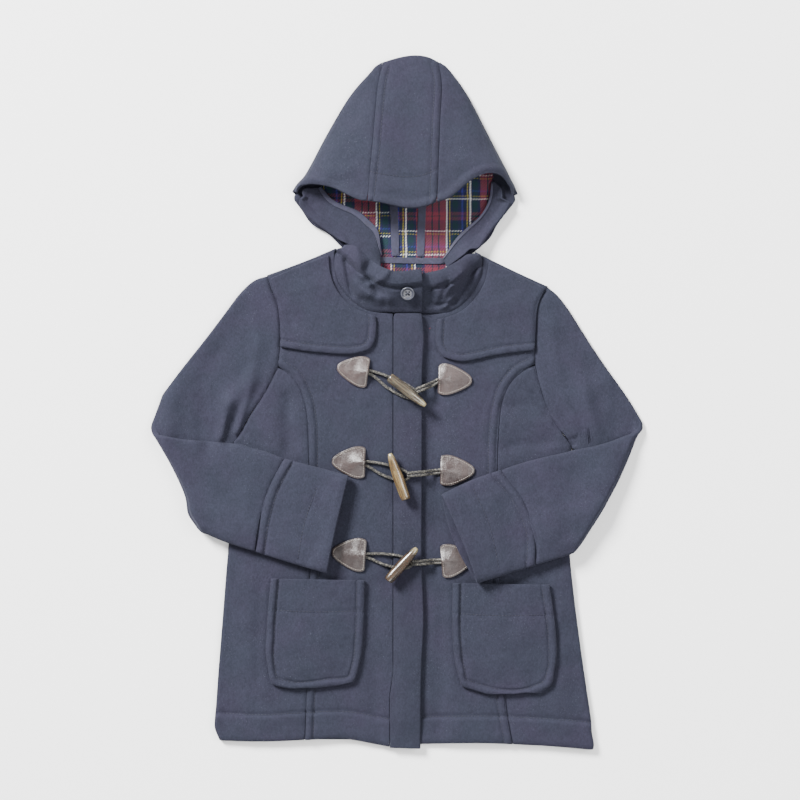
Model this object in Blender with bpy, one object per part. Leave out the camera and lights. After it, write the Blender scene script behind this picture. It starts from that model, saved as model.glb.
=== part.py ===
"""A child's duffle coat of thick wool, lying on its back, hood up, the forearms folded over the front.

Plan: +X is the wearer's left, +Y is towards the hood, +Z is up from the surface that the back rests on.
Tables and helper functions work in millimetres; the finished meshes are in metres.
Every cloth piece is a grid of points on the middle of its wall, given thickness along the grid's own normals.
"""
import math

import bpy
import numpy as np

MM = 0.001
CLOTH = 2.4                 # double-faced wool
HALF = CLOTH / 2
SEAM = 0.3                  # gap between neighbouring pieces
TAPE = 0.9                  # woven binding tape
LEATHER = 1.6
CENTRE_SHIFT = 0.0          # moves the finished coat so that its origin is at the middle of its outline
LENGTH_SHIFT = 0.0

BACK_Z = HALF               # middle of the back, which lies flat
FRONT_Z = 6.4               # middle of the fronts
UNDERLAP_Z = 4.0            # middle of the left front where the right one covers it
SIDE_EDGE_Z = 4.2           # where a front's rolled edge meets the back
ROLL = 4.5                  # radius over which a front turns down at the side and shoulder
PLACKET = 4.0               # the placket is folded double
PLACKET_Z = 7.6
RIM_WIDTH = 9.0             # turned and stitched edges of yoke, pocket and princess seam
RIM_RISE = 0.8
HEM_DEPTH = 31.0
HEM_RISE = 0.5

# Outlines, as (x, y), one side then the other. "right" is the wearer's right, at -X.
HEM = {
    "right": [(-203, -391), (-154, -392), (-108, -390), (-58, -389), (-31, -394), (-9, -398)],
    "left": [(-8, -396), (28, -395), (111, -394), (132, -395), (173, -397), (220, -401)],
}
SIDE = {
    "right": [(-205, -391), (-210, -372), (-209, -340), (-203, -260), (-197, -183), (-190, -110),
              (-184, -41)],
    "left": [(222, -401), (224, -386), (220, -350), (212, -295), (204, -235), (198, -183), (195, -120),
             (200, -52)],
}
ARMHOLE_LOW = {
    "right": [(-184, -41), (-175, -24), (-150, 15), (-139, 40)],
    "left": [(200, -52), (192, -42), (172, -11), (165, 9), (158, 42)],
}
ARMHOLE_HIGH = {
    "right": [(-139, 40), (-136, 61), (-139, 112), (-146, 128), (-151, 145)],
    "left": [(158, 42), (157.5, 58), (158, 84), (160, 112), (165, 122), (173, 132)],
}
SHOULDER = {
    "right": [(-151, 145), (-95, 166), (-72, 176)],
    "left": [(173, 132), (144, 145), (96, 168)],
}
NECK_SEAM = {
    "right": [(-72, 176), (-74, 157), (-70, 138), (-61, 124), (-49, 112), (-34, 104), (-9, 102)],
    "left": [(96, 168), (98, 152), (94, 137), (84, 121), (70, 108), (54, 101), (28, 99), (-8, 99)],
}
PRINCESS = {
    "right": [(-107, -390), (-105, -334), (-101, -195), (-102, -65), (-103, -26), (-108, 2), (-121, 28),
              (-139, 40)],
    "left": [(132, -395), (122, -337), (117, -190), (113, -78), (114, -37), (118, -6), (125, 15), (139, 32),
             (158, 42)],
}
PLACKET_SEAM = [(-9.5, -399), (-9.5, 40), (-9.5, 101)]
PLACKET_EDGE = [(26, -400), (28, 40), (28, 101)]
NAPE = [(-72, 176), (-60, 169), (-30, 163), (0, 160), (40, 158), (70, 162), (96, 168)]

# Soft folds of the fronts: a line from start to end, how wide and how high (negative for a hollow).
FRONT_FOLDS = [
    # x0, y0, x1, y1, width, height
    (-150, -230, -125, -370, 24, 1.2),
    (-75, -200, -62, -380, 26, -0.9),
    (-60, 20, -70, -60, 18, -0.9),
    (-118, 70, -60, 92, 16, 0.9),
    (72, -210, 90, -380, 26, 1.0),
    (165, -225, 195, -370, 26, 1.1),
    (140, 20, 75, -45, 15, 1.2),
    (95, 95, 140, 110, 14, 0.9),
    (84, 5, 60, -60, 14, -0.8),
]


# ---------------------------------------------------------------- curves and grids

def smooth(points, steps=14):
    """Dense points on a smooth curve through the given points."""
    p = np.array(points, float)
    if len(p) == 2:
        t = np.linspace(0, 1, steps + 1)[:, None]
        return p[0] * (1 - t) + p[1] * t
    gap = np.linalg.norm(np.diff(p, axis=0), axis=1)
    slope = np.diff(p, axis=0) / gap[:, None]
    tangent = np.empty_like(p)
    tangent[0] = slope[0]
    tangent[-1] = slope[-1]
    weight = gap[:-1] / (gap[:-1] + gap[1:])
    tangent[1:-1] = slope[:-1] * (1 - weight[:, None]) + slope[1:] * weight[:, None]
    t = np.linspace(0, 1, steps, endpoint=False)[:, None]
    spans = []
    for k in range(len(gap)):
        a, b, ta, tb = p[k], p[k + 1], tangent[k] * gap[k], tangent[k + 1] * gap[k]
        spans.append(a * (2 * t**3 - 3 * t**2 + 1) + ta * (t**3 - 2 * t**2 + t)
                     + b * (3 * t**2 - 2 * t**3) + tb * (t**3 - t**2))
    return np.vstack(spans + [p[-1:]])


def lengths(curve):
    return np.concatenate([[0], np.cumsum(np.linalg.norm(np.diff(curve, axis=0), axis=1))])


def at(curve, stops):
    """Points of a curve at the given distances along it; a negative stop counts from the end."""
    run = lengths(curve)
    stops = np.where(np.array(stops, float) < 0, run[-1] + np.array(stops, float), stops)
    return np.stack([np.interp(stops, run, curve[:, k]) for k in range(curve.shape[1])], axis=1)


def spread(length, first, last, count):
    """Distances from 0 to length: fixed ones near each end and count even steps between them."""
    inner_start = first[-1] if first else 0
    inner_end = length - (last[0] if last else 0)
    middle = np.linspace(inner_start, inner_end, count + 1)
    head = [0] + list(first[:-1]) if first else []
    tail = [length - d for d in last[1:]] + [length] if last else []
    return np.concatenate([head, middle, tail])


def edge(points, count, first=(), last=()):
    """An edge of a panel as a row of points, with fixed stops near its ends."""
    curve = smooth(points)
    return at(curve, spread(lengths(curve)[-1], list(first), list(last), count))


def joined(*edges):
    """Edges that follow each other, as one."""
    return np.vstack([edges[0]] + [e[1:] for e in edges[1:]])


def fractions(points):
    run = lengths(np.asarray(points))
    return run / run[-1]


def patch(bottom, top, left, right):
    """Grid between four edges. Rows run from bottom to top, columns from left to right."""
    u = fractions(bottom)[None, :, None] * 0.5 + fractions(top)[None, :, None] * 0.5
    v = fractions(left)[:, None, None] * 0.5 + fractions(right)[:, None, None] * 0.5
    between = (1 - v) * bottom[None] + v * top[None] + (1 - u) * left[:, None] + u * right[:, None]
    corners = ((1 - u) * (1 - v) * bottom[0] + u * (1 - v) * bottom[-1]
               + (1 - u) * v * top[0] + u * v * top[-1])
    return between - corners


def drawn_in(grid, gap=SEAM / 2, sides=("bottom", "top", "left", "right")):
    """Moves a flat grid's border inwards by the gap, which may differ from point to point."""
    grid = grid.copy()
    moved = np.zeros_like(grid)
    for side in sides:
        rim, inner = {"bottom": (grid[0], grid[1]), "top": (grid[-1], grid[-2]),
                      "left": (grid[:, 0], grid[:, 1]), "right": (grid[:, -1], grid[:, -2])}[side]
        along = np.gradient(rim, axis=0)
        along /= np.linalg.norm(along, axis=1)[:, None]
        inwards = inner - rim
        inwards -= along * np.sum(inwards * along, axis=1)[:, None]
        inwards /= np.linalg.norm(inwards, axis=1)[:, None]
        inwards *= np.broadcast_to(gap, len(rim))[:, None]
        place = {"bottom": np.s_[0], "top": np.s_[-1], "left": np.s_[:, 0], "right": np.s_[:, -1]}[side]
        moved[place] += inwards
    return grid + moved


def distance_to(x, y, curve):
    """Least distance from each point to a dense curve."""
    gap = np.hypot(x[..., None] - curve[:, 0], y[..., None] - curve[:, 1])
    return gap.min(axis=-1)


def ease(t):
    t = np.clip(t, 0, 1)
    return t * t * (3 - 2 * t)


def bump(distance, width):
    return np.exp(-(distance / width) ** 2)


def fold_relief(x, y, folds):
    """Sum of soft folds, each fading at the ends of its line."""
    total = np.zeros_like(x)
    for x0, y0, x1, y1, width, height in folds:
        run = math.hypot(x1 - x0, y1 - y0)
        ux, uy = (x1 - x0) / run, (y1 - y0) / run
        along = (x - x0) * ux + (y - y0) * uy
        across = (x - x0) * uy - (y - y0) * ux
        past = np.maximum(np.maximum(-along, along - run), 0)
        total += height * bump(across, width) * bump(past, width * 1.2)
    return total


# ---------------------------------------------------------------- meshes

SQUEEZE = 0.88              # how much thinner each round makes the inside of a tight bend
SQUEEZE_ROUNDS = 12
LEAST_COSINE = 0.35         # of the angle between a wall's side and its middle
UPRIGHT_MOST = 1.25         # how much thicker than the cloth an upright wall gets where it is steep

MATERIALS = {
    # name: colour, roughness
    "wool": ((0.085, 0.095, 0.150, 1), 0.95),
    "tape": ((0.110, 0.090, 0.170, 1), 0.70),
    "leather": ((0.120, 0.090, 0.085, 1), 0.35),
    "cord": ((0.160, 0.150, 0.150, 1), 0.80),
    "horn": ((0.190, 0.130, 0.070, 1), 0.30),
    "button": ((0.130, 0.140, 0.190, 1), 0.35),
}


def material(node, kind):
    """A material of the node's own, with its kind's colour and roughness."""
    made = bpy.data.materials.new(node + "_" + kind)
    made.use_nodes = True
    shader = made.node_tree.nodes["Principled BSDF"]
    colour, roughness = MATERIALS[kind]
    shader.inputs["Base Color"].default_value = colour
    shader.inputs["Roughness"].default_value = roughness
    shader.inputs["Metallic"].default_value = 0.0
    made.diffuse_color = colour
    return made


def add(node, vertices, faces, kind, sharp=40):
    """Makes the node's object from points in millimetres."""
    shift = np.array([CENTRE_SHIFT, LENGTH_SHIFT, 0])
    mesh = bpy.data.meshes.new(node)
    mesh.from_pydata([tuple(p) for p in (np.asarray(vertices, float) + shift) * MM], [], faces)
    mesh.validate()
    mesh.shade_smooth()
    mesh.set_sharp_from_angle(angle=math.radians(sharp))
    mesh.materials.append(material(node, kind))
    made = bpy.data.objects.new(node, mesh)
    bpy.context.scene.collection.objects.link(made)
    return made


def steps(grid, axis, closed):
    if closed:
        return np.roll(grid, -1, axis) - np.roll(grid, 1, axis)
    return np.gradient(grid, axis=axis)


def normals(grid, closed=False):
    """Unit normals of a grid whose columns may close into a ring."""
    normal = np.cross(steps(grid, 1, closed), steps(grid, 0, False))
    return normal / np.linalg.norm(normal, axis=2)[..., None]


def grid_faces(rows, columns, closed):
    """Faces of a grid's outer side and the border edges round it."""
    def index(i, j):
        return i * columns + j % columns

    across = columns if closed else columns - 1
    faces = [[index(i, j), index(i, j + 1), index(i + 1, j + 1), index(i + 1, j)]
             for i in range(rows - 1) for j in range(across)]
    return faces


def border(faces):
    """Edges that only one face uses, in that face's direction."""
    edges = {}
    for face in faces:
        for a, b in zip(face, face[1:] + face[:1]):
            edges[(a, b)] = True
    return [(a, b) for a, b in edges if (b, a) not in edges]


def side_of_wall(middle, direction, offset, faces):
    """One side of a wall. On the inside of a tight bend the cloth is squeezed until no face turns over."""
    quads = np.array(faces)
    offset = np.array(offset, float)
    for _ in range(SQUEEZE_ROUNDS):
        side = middle + direction * offset[:, None]
        turned_over = np.zeros(len(quads), bool)
        for k in range(4):
            a, b, c = quads[:, k - 2], quads[:, k - 1], quads[:, k]
            flat = np.cross(middle[b] - middle[a], middle[c] - middle[a])
            here = np.cross(side[b] - side[a], side[c] - side[a])
            size = np.linalg.norm(flat, axis=1) * np.linalg.norm(here, axis=1)
            turned_over |= np.sum(flat * here, axis=1) < LEAST_COSINE * size
        if not turned_over.any():
            break
        offset[np.unique(quads[turned_over])] *= SQUEEZE
    return middle + direction * offset[:, None]


def wall(node, grids, kind="wool", thickness=CLOTH, relief=0.0, closed=False, upright=False):
    """A wall round one grid of middle points, or several that share borders; relief raises its outer face.

    An upright wall is measured straight up and down, which suits a panel with steep rolled edges.
    """
    grids = grids if isinstance(grids, list) else [grids]
    reliefs = relief if isinstance(relief, list) else [relief] * len(grids)
    places, middle, normal, raised, faces = {}, [], [], [], []
    for grid, grid_relief in zip(grids, reliefs):
        grid_normals = normals(grid, closed).reshape(-1, 3)
        grid_relief = np.broadcast_to(grid_relief, grid.shape[:2]).reshape(-1)
        numbers = []
        for point, direction, rise in zip(grid.reshape(-1, 3), grid_normals, grid_relief):
            key = tuple(np.round(point, 2))
            if key not in places or len(grids) == 1:
                places[key] = len(middle)
                middle.append(point)
                normal.append(np.zeros(3))
                raised.append(rise)
            numbers.append(places[key])
            normal[places[key]] = normal[places[key]] + direction
        faces += [[numbers[k] for k in face] for face in grid_faces(*grid.shape[:2], closed)]
    middle, normal, raised = np.array(middle), np.array(normal), np.array(raised)
    normal /= np.linalg.norm(normal, axis=1)[:, None]
    if upright:
        normal = np.array([0, 0, 1.0]) * np.minimum(1 / normal[:, 2:], UPRIGHT_MOST)
    outer = side_of_wall(middle, normal, thickness / 2 + raised, faces)
    inner = side_of_wall(middle, -normal, np.full(len(middle), thickness / 2), faces)
    count = len(middle)
    sides = [[b, a, a + count, b + count] for a, b in border(faces)]
    inner_faces = [[k + count for k in reversed(face)] for face in faces]
    return add(node, np.vstack([outer, inner]), faces + inner_faces + sides, kind)


def tube(node, route, radius, kind, sides=6):
    """A cord along a route, its ends flat."""
    route = np.asarray(route, float)
    tangent = np.gradient(route, axis=0)
    tangent /= np.linalg.norm(tangent, axis=1)[:, None]
    across = np.cross(tangent, [0, 0, 1.0])
    across /= np.linalg.norm(across, axis=1)[:, None]
    upward = np.cross(across, tangent)
    vertices = []
    for k in range(sides):
        angle = math.tau * (k + 0.5) / sides
        vertices.append(route + radius * (math.cos(angle) * across + math.sin(angle) * upward))
    vertices = np.stack(vertices, axis=1).reshape(-1, 3)
    count = len(route)
    faces = [list(range(sides)), [(count - 1) * sides + k for k in reversed(range(sides))]]
    for i in range(count - 1):
        for k in range(sides):
            a, b = i * sides + k, i * sides + (k + 1) % sides
            faces.append([a, a + sides, b + sides, b])
    return add(node, vertices, faces, kind, sharp=70)


def turned(node, profile, centre, axis, kind, sides=10):
    """A solid turned about an axis, from rows of (place along the axis, radius)."""
    axis = np.asarray(axis, float) / np.linalg.norm(axis)
    across = np.cross(axis, [0.1, 0.2, 1.0])
    across /= np.linalg.norm(across)
    other = np.cross(axis, across)
    vertices = []
    for place, radius in profile:
        for k in range(sides):
            angle = math.tau * k / sides
            spoke = math.cos(angle) * across + math.sin(angle) * other
            vertices.append(centre + axis * place + radius * spoke)
    faces = [list(reversed(range(sides))), [(len(profile) - 1) * sides + k for k in range(sides)]]
    for i in range(len(profile) - 1):
        for k in range(sides):
            a, b = i * sides + k, i * sides + (k + 1) % sides
            faces.append([a, b, b + sides, a + sides])
    return add(node, vertices, faces, kind)


# ---------------------------------------------------------------- body

def outline_inset(points, gap, inside):
    """A dense curve moved sideways by the gap, towards the side on which the inside point lies."""
    curve = smooth(points)
    along = np.gradient(curve, axis=0)
    along /= np.linalg.norm(along, axis=1)[:, None]
    across = np.stack([-along[:, 1], along[:, 0]], axis=1)
    towards = np.sign(np.sum(across * (np.array(inside) - curve), axis=1))[:, None]
    return curve + across * towards * gap


BODY_MIDDLE = (0, -100)
EDGE_INSET = 0.4            # from the coat's outline to the end of a front's rolled edge
ROLLED = {s: [outline_inset(SIDE[s], EDGE_INSET, BODY_MIDDLE), outline_inset(SHOULDER[s], EDGE_INSET, BODY_MIDDLE)]
          for s in ("right", "left")}


def front_height(x, y, side):
    """Height of the middle of a front's wall."""
    inside = FRONT_Z + fold_relief(x, y, FRONT_FOLDS)
    if side == "left":
        inside = UNDERLAP_Z + (inside - UNDERLAP_Z) * ease((x - UNDERLAP_X) / UNDERLAP_RISE)
    edge_gap = np.minimum(distance_to(x, y, ROLLED[side][0]), distance_to(x, y, ROLLED[side][1]))
    turn = 1 - np.clip(edge_gap / ROLL, 0, 1)
    return SIDE_EDGE_Z + (inside - SIDE_EDGE_Z) * (1 - turn**2)


def on_front(grid, side, lift=0.0):
    """Lifts a flat grid onto a front, then moves it out along the front's normal."""
    x, y = grid[..., 0], grid[..., 1]
    step = 0.5
    z = front_height(x, y, side)
    slope_x = (front_height(x + step, y, side) - front_height(x - step, y, side)) / (2 * step)
    slope_y = (front_height(x, y + step, side) - front_height(x, y - step, side)) / (2 * step)
    normal = np.stack([-slope_x, -slope_y, np.ones_like(z)], axis=-1)
    normal /= np.linalg.norm(normal, axis=-1)[..., None]
    return np.stack([x, y, z], axis=-1) + normal * lift


def rim_relief(gap, width=RIM_WIDTH, rise=RIM_RISE):
    """Raised strip beside an edge, low at the edge itself and at the strip's far side."""
    inner = ease((width + 1.5 - gap) / 2.5)
    return rise * inner * (0.35 + 0.65 * ease(gap / 2.0))


def hem_relief(x, y, side):
    gap = distance_to(x, y, smooth(HEM[side]))
    return HEM_RISE * ease((HEM_DEPTH + 2 - gap) / 3.0)


HEM_STOPS = [3.0, HEM_DEPTH - 1.0, HEM_DEPTH + 3.0]
ARM_STOPS = [74.0, 56.0, 40.0, 26.0, 12.0]   # denser rows where the princess seam bends to the armhole
RIM_STOPS = [2.0, RIM_WIDTH - 1.0, RIM_WIDTH + 2.0]
SHOULDER_STOPS = [5.0, 3.0, 1.4]
FRONT_EDGE = {"right": (-9.5, 101.5), "left": (-8.0, 99.0)}   # x of a front's inner edge, y of its top
NECK_TURN = {"right": (-70, 138), "left": (94, 137)}          # where the neck seam turns from down to across
UNDERLAP_X = 35.0           # the left front rises from under the right one past this line
UNDERLAP_RISE = 28.0
UNDERLAP_STOPS = [UNDERLAP_X + UNDERLAP_RISE + 8, UNDERLAP_X + UNDERLAP_RISE / 2 + 8, UNDERLAP_X + 8]


def cut(points, first_x, last_x):
    """The part of an edge between two values of x."""
    curve = smooth(points)
    ends = [[x, np.interp(x, curve[:, 0], curve[:, 1])] for x in (first_x, last_x)]
    keep = [p for p in curve if min(first_x, last_x) + 0.01 < p[0] < max(first_x, last_x) - 0.01]
    if first_x > last_x:
        keep.reverse()
    return np.array([ends[0]] + keep + [ends[1]])


def even(curve, count, first=(), last=()):
    """Points along a dense curve."""
    curve = np.asarray(curve)
    return at(curve, spread(lengths(curve)[-1], list(first), list(last), count))


def front_centre(side):
    """Centre panel of a front in three parts: below the armhole, under the shoulder, under the neck seam."""
    inner_x, inner_top = FRONT_EDGE[side]
    neck_x, neck_y = NECK_TURN[side]
    neck = smooth(NECK_SEAM[side])
    turn = np.hypot(neck[:, 0] - neck_x, neck[:, 1] - neck_y).argmin()
    shoulder_columns = 4
    neck_columns = 6
    waist = np.array([PRINCESS[side][-1], (neck[turn, 0], 40.0), (inner_x, 40.0)])
    waist_row = joined(even(waist[:2], shoulder_columns), even(waist[1:], neck_columns))
    outer = edge(PRINCESS[side], 5, HEM_STOPS, ARM_STOPS)
    inner_low = HEM[side][-1 if side == "right" else 0][1]
    inner = edge([(inner_x, inner_low), (inner_x, 40.0)], 5, HEM_STOPS, ARM_STOPS)
    if side == "right":
        hem = even(cut(HEM[side], PRINCESS[side][0][0], inner_x), 7, RIM_STOPS)
    else:
        hem = even(cut(HEM[side], PRINCESS[side][0][0], inner_x), 4, RIM_STOPS, UNDERLAP_STOPS)
    hem[0], hem[-1] = outer[0], inner[0]
    low = patch(hem, waist_row, outer, inner)
    split = even(np.array([waist_row[shoulder_columns], neck[turn]]), 4)
    arm = smooth(ARMHOLE_HIGH[side])
    arm_split = int(len(arm) * 0.62)
    under_shoulder = patch(waist_row[: shoulder_columns + 1], edge(SHOULDER[side], shoulder_columns),
                           joined(even(arm[: arm_split + 1], 4), even(arm[arm_split:], 2, (), SHOULDER_STOPS)),
                           joined(split, even(neck[turn::-1], 2, (), SHOULDER_STOPS)))
    under_neck = patch(waist_row[shoulder_columns:], even(neck[turn:], neck_columns), split,
                       even(np.array([waist_row[-1], [inner_x, inner_top]]), 4))
    low = drawn_in(low, sides=("bottom", "left", "right"))
    under_shoulder = drawn_in(under_shoulder, EDGE_INSET, ("top",))
    under_shoulder = drawn_in(under_shoulder, sides=("left",))
    past = np.arange(len(under_shoulder)) > 4
    under_shoulder = drawn_in(under_shoulder, np.where(past, SEAM / 2, 0.0), ("right",))
    under_neck = drawn_in(under_neck, sides=("top", "right"))
    under_shoulder[0, 0], under_neck[0, -1], under_neck[-1, 0] = low[-1, 0], low[-1, -1], under_shoulder[4, -1]
    grids, reliefs = [], []
    for grid in (low, under_shoulder, under_neck):
        x, y = grid[..., 0], grid[..., 1]
        seam_gap = distance_to(x, y, smooth(PRINCESS[side]))
        relief = np.maximum(rim_relief(seam_gap, rise=0.7), hem_relief(x, y, side))
        if side == "left":
            relief = relief * ease((x - UNDERLAP_X) / 8)
            grid, relief = grid[:, ::-1], relief[:, ::-1]
        grids.append(on_front(grid, side))
        reliefs.append(relief)
    return wall("front_%s_centre" % side, grids, relief=reliefs, upright=True)


def front_side(side):
    """Side panel of a front: from the side seam to the princess seam, up to the armhole."""
    roll_stops = [1.4, 3.0, 5.0]
    princess_x = PRINCESS[side][0][0]
    inner = edge(PRINCESS[side], 5, HEM_STOPS, ARM_STOPS)
    outer = edge(SIDE[side], 5, HEM_STOPS, ARM_STOPS)
    hem_curve = cut(HEM[side], HEM[side][0][0] if side == "right" else HEM[side][-1][0], princess_x)
    hem = even(hem_curve, 4, roll_stops)
    top = edge(ARMHOLE_LOW[side], 4, roll_stops)
    hem[0], hem[-1], top[-1] = outer[0], inner[0], inner[-1]
    if side == "right":
        grid = drawn_in(patch(hem, top, outer, inner), sides=("bottom", "top", "right"))
        grid = drawn_in(grid, EDGE_INSET, sides=("left",))
    else:
        grid = drawn_in(patch(hem[::-1], top[::-1], inner, outer), sides=("bottom", "top", "left"))
        grid = drawn_in(grid, EDGE_INSET, sides=("right",))
    relief = hem_relief(grid[..., 0], grid[..., 1], side)
    return wall("front_%s_side" % side, on_front(grid, side), relief=relief, upright=True)


BACK_INSET = SEAM / 2


def back():
    """The back is cut in one, flat on the surface."""
    hem = [SIDE["left"][0], (120, -394), (10, -391), (-100, -390), SIDE["right"][0]]
    outline = joined(edge(SIDE["right"], 9), edge(ARMHOLE_LOW["right"], 6), edge(ARMHOLE_HIGH["right"], 8),
                     edge(SHOULDER["right"], 3), edge(NAPE, 8), edge(SHOULDER["left"][::-1], 3),
                     edge(ARMHOLE_HIGH["left"][::-1], 8), edge(ARMHOLE_LOW["left"][::-1], 6),
                     edge(SIDE["left"][::-1], 9), edge(hem, 8))[:-1]
    along = np.roll(outline, -1, axis=0) - np.roll(outline, 1, axis=0)
    along /= np.linalg.norm(along, axis=1)[:, None]
    outline = outline + np.stack([along[:, 1], -along[:, 0]], axis=1) * BACK_INSET
    count = len(outline)
    upper = np.concatenate([outline, np.full((count, 1), CLOTH)], axis=1)
    lower = np.concatenate([outline, np.zeros((count, 1))], axis=1)
    faces = [list(range(count))[::-1], list(range(count, 2 * count))]
    for k in range(count):
        after = (k + 1) % count
        faces.append([k, after, after + count, k + count])
    return add("back", np.vstack([upper, lower]), faces, "wool")


def placket():
    """Double strip down the right front, over the left front."""
    left_edge = edge(PLACKET_SEAM, 9, [3.0])
    right_edge = edge(PLACKET_EDGE, 9, [3.0])
    grid = patch(edge([PLACKET_SEAM[0], PLACKET_EDGE[0]], 3, [2.5], [2.5]),
                 edge([PLACKET_SEAM[-1], PLACKET_EDGE[-1]], 3, [2.5], [2.5]), left_edge, right_edge)
    grid = drawn_in(grid)
    middle = np.concatenate([grid, np.full(grid.shape[:2] + (1,), PLACKET_Z)], axis=2)
    relief = np.zeros(grid.shape[:2])
    relief[:, [0, -1]] = -0.7
    return wall("placket", middle, thickness=PLACKET, relief=relief)


# ---------------------------------------------------------------- yokes and pockets

YOKES = {
    # low edge in from the armhole, rounded corner up to the neck, neck edge and its turn, armhole edge
    "right": {"low": [(-135.5, 62), (-104, 57), (-72, 54)], "low_in": [(-72, 54), (-50, 54), (-34, 58.5)],
              "corner": [(-34, 58.5), (-27, 67), (-25, 80), (-25, 98)],
              "neck": [(-75, 136), (-66, 121), (-54, 109), (-40, 101.5), (-25, 98)],
              "neck_up": [(-75, 136), (-79, 152), (-79.5, 168)],
              "arm": [(-135.5, 62), (-136, 90), (-139, 113), (-147, 141)]},
    "left": {"low": [(157, 58), (120, 54), (92, 48)], "low_in": [(92, 48), (72, 45), (53, 50)],
             "corner": [(53, 50), (45, 60), (43.5, 76), (45, 94)],
             "neck": [(99, 134), (89, 118), (75, 104), (60, 97), (45, 94)],
             "neck_up": [(99, 134), (103, 148), (104, 160)],
             "arm": [(157, 58), (158, 84), (161, 113), (169, 129)]},
}
YOKE_LIFT = HALF + SEAM + HALF + 0.45       # clears the folds of the front below
YOKE_STOPS = [6.0, 2.5]


def yoke(side):
    """Shoulder yoke, laid over the front and stitched down along its lower edge, in two parts."""
    shape = YOKES[side]
    rims = [2.0, RIM_WIDTH - 1.0]
    split = edge([shape["low"][-1], shape["neck"][0]], 4, rims)
    arm = edge(shape["arm"], 6, rims, YOKE_STOPS)
    outer_part = patch(edge(shape["low"], 4), edge([shape["arm"][-1], shape["neck_up"][-1]], 4),
                       arm, joined(split, edge(shape["neck_up"], 2, (), YOKE_STOPS)))
    inner_part = patch(edge(shape["low_in"], 5), edge(shape["neck"], 5), split, edge(shape["corner"], 4, rims))
    low = np.vstack([smooth(shape["low"]), smooth(shape["low_in"]), smooth(shape["corner"])])
    grids, reliefs = [], []
    for grid in (outer_part, inner_part):
        relief = rim_relief(distance_to(grid[..., 0], grid[..., 1], low), rise=0.6)
        if side == "left":
            grid, relief = grid[:, ::-1], relief[:, ::-1]
        grids.append(on_front(grid, side, YOKE_LIFT))
        reliefs.append(relief)
    return wall("yoke_%s" % side, grids, relief=reliefs, upright=True)


POCKETS = {
    # the mouth's ends, then the sides and the bottom, as (x, y)
    "right": {"mouth": [(-146, -204), (-92, -205), (-38, -206)],
              "left": [(-146, -204), (-151, -266), (-151, -303), (-142, -322)],
              "right": [(-38, -206), (-40, -275), (-43, -303), (-52, -321)],
              "bottom": [(-142, -322), (-126, -334), (-80, -332), (-52, -321)]},
    "left": {"mouth": [(63, -209), (118, -210), (174, -211)],
             "left": [(63, -209), (63, -275), (67, -308), (74, -324)],
             "right": [(174, -211), (182, -275), (181, -309), (172, -325)],
             "bottom": [(74, -324), (88, -335), (157, -337), (172, -325)]},
}
POCKET_LIFT = HALF + SEAM + HALF + 0.75     # clears the raised princess seam below
POCKET_BULGE = 2.0
MOUTH_GAP = 1.2


def pocket(side):
    """Patch pocket with a puffy stitched rim, open along its mouth."""
    shape = POCKETS[side]
    stops = [2.0, RIM_WIDTH - 1.0, RIM_WIDTH + 3.0]
    grid = patch(edge(shape["bottom"], 5, stops, stops[::-1]), edge(shape["mouth"], 5, stops, stops[::-1]),
                 edge(shape["left"][::-1], 5, stops, [2.0]), edge(shape["right"][::-1], 5, stops, [2.0]))
    x, y = grid[..., 0], grid[..., 1]
    sewn = np.min([distance_to(x, y, smooth(shape[name])) for name in ("left", "right", "bottom")], axis=0)
    mouth = distance_to(x, y, smooth(shape["mouth"]))
    swell = POCKET_BULGE * ease(sewn / 32) + MOUTH_GAP * bump(mouth, 25) * ease(sewn / 20)
    middle = on_front(grid, side, POCKET_LIFT)
    middle[..., 2] += swell
    return wall("pocket_%s" % side, middle, relief=rim_relief(sewn, rise=0.9), upright=True)


# ---------------------------------------------------------------- sleeves

TUBE_HALF = HALF + 2.6      # half the outer thickness of a flattened sleeve
TUBE_MIDDLE = 2.6           # half the thickness of the ring of middle points
UPPER_Z = TUBE_HALF
ELBOW = 4.7                 # the elbow turns the sleeve's middle about this radius
FORE_Z = UPPER_Z + 2 * ELBOW
ELBOW_REACH = ELBOW + TUBE_HALF

SLEEVES = {
    "right": {
        "outer": [(-151, 146), (-164, 141), (-195, 104), (-234, 53), (-268, 11), (-279, -14), (-283, -37)],
        "inner": [(-191, -39), (-211, -88), (-232, -146)],
        "fore_top": [(-283, -37), (-250, -45), (-216, -47), (-180, -52), (-147, -60), (-131, -67)],
        "fore_low": [(-232, -146), (-198, -161), (-180, -167), (-164, -172)],
        "fold_bow": -4.5,
        "welt_bow": -8.0,
        "fore_rise": 0.0,
    },
    "left": {
        "outer": [(173, 133), (184, 121), (202, 94), (233, 45), (266, 0), (281, -27)],
        "inner": [(208, -51), (217, -105), (213, -161)],
        "fore_top": [(281, -27), (262, -41), (244, -48), (195, -59), (131, -75), (118, -80)],
        "fore_low": [(213, -161), (197, -175), (178, -181), (156, -188)],
        "fold_bow": 5.5,
        "welt_bow": 9.0,
        "fore_rise": 2.5,
    },
}
CUFFS = {
    # top and low edges from the welt to the mouth, the mouth's bow, its showing lower lip, its half height
    "right": {"top": [(-131, -67), (-100, -75), (-57, -86)], "low": [(-164, -172), (-120, -186), (-82, -197)],
              "mouth_bow": 1.0, "lip": 0.0, "mouth_half": 6.5, "rise": 3.0},
    "left": {"top": [(118, -80), (87, -90), (50, -107)], "low": [(156, -188), (120, -199), (91, -208)],
             "mouth_bow": -2.0, "lip": 9.0, "mouth_half": 8.0, "rise": 6.5},
}


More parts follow.
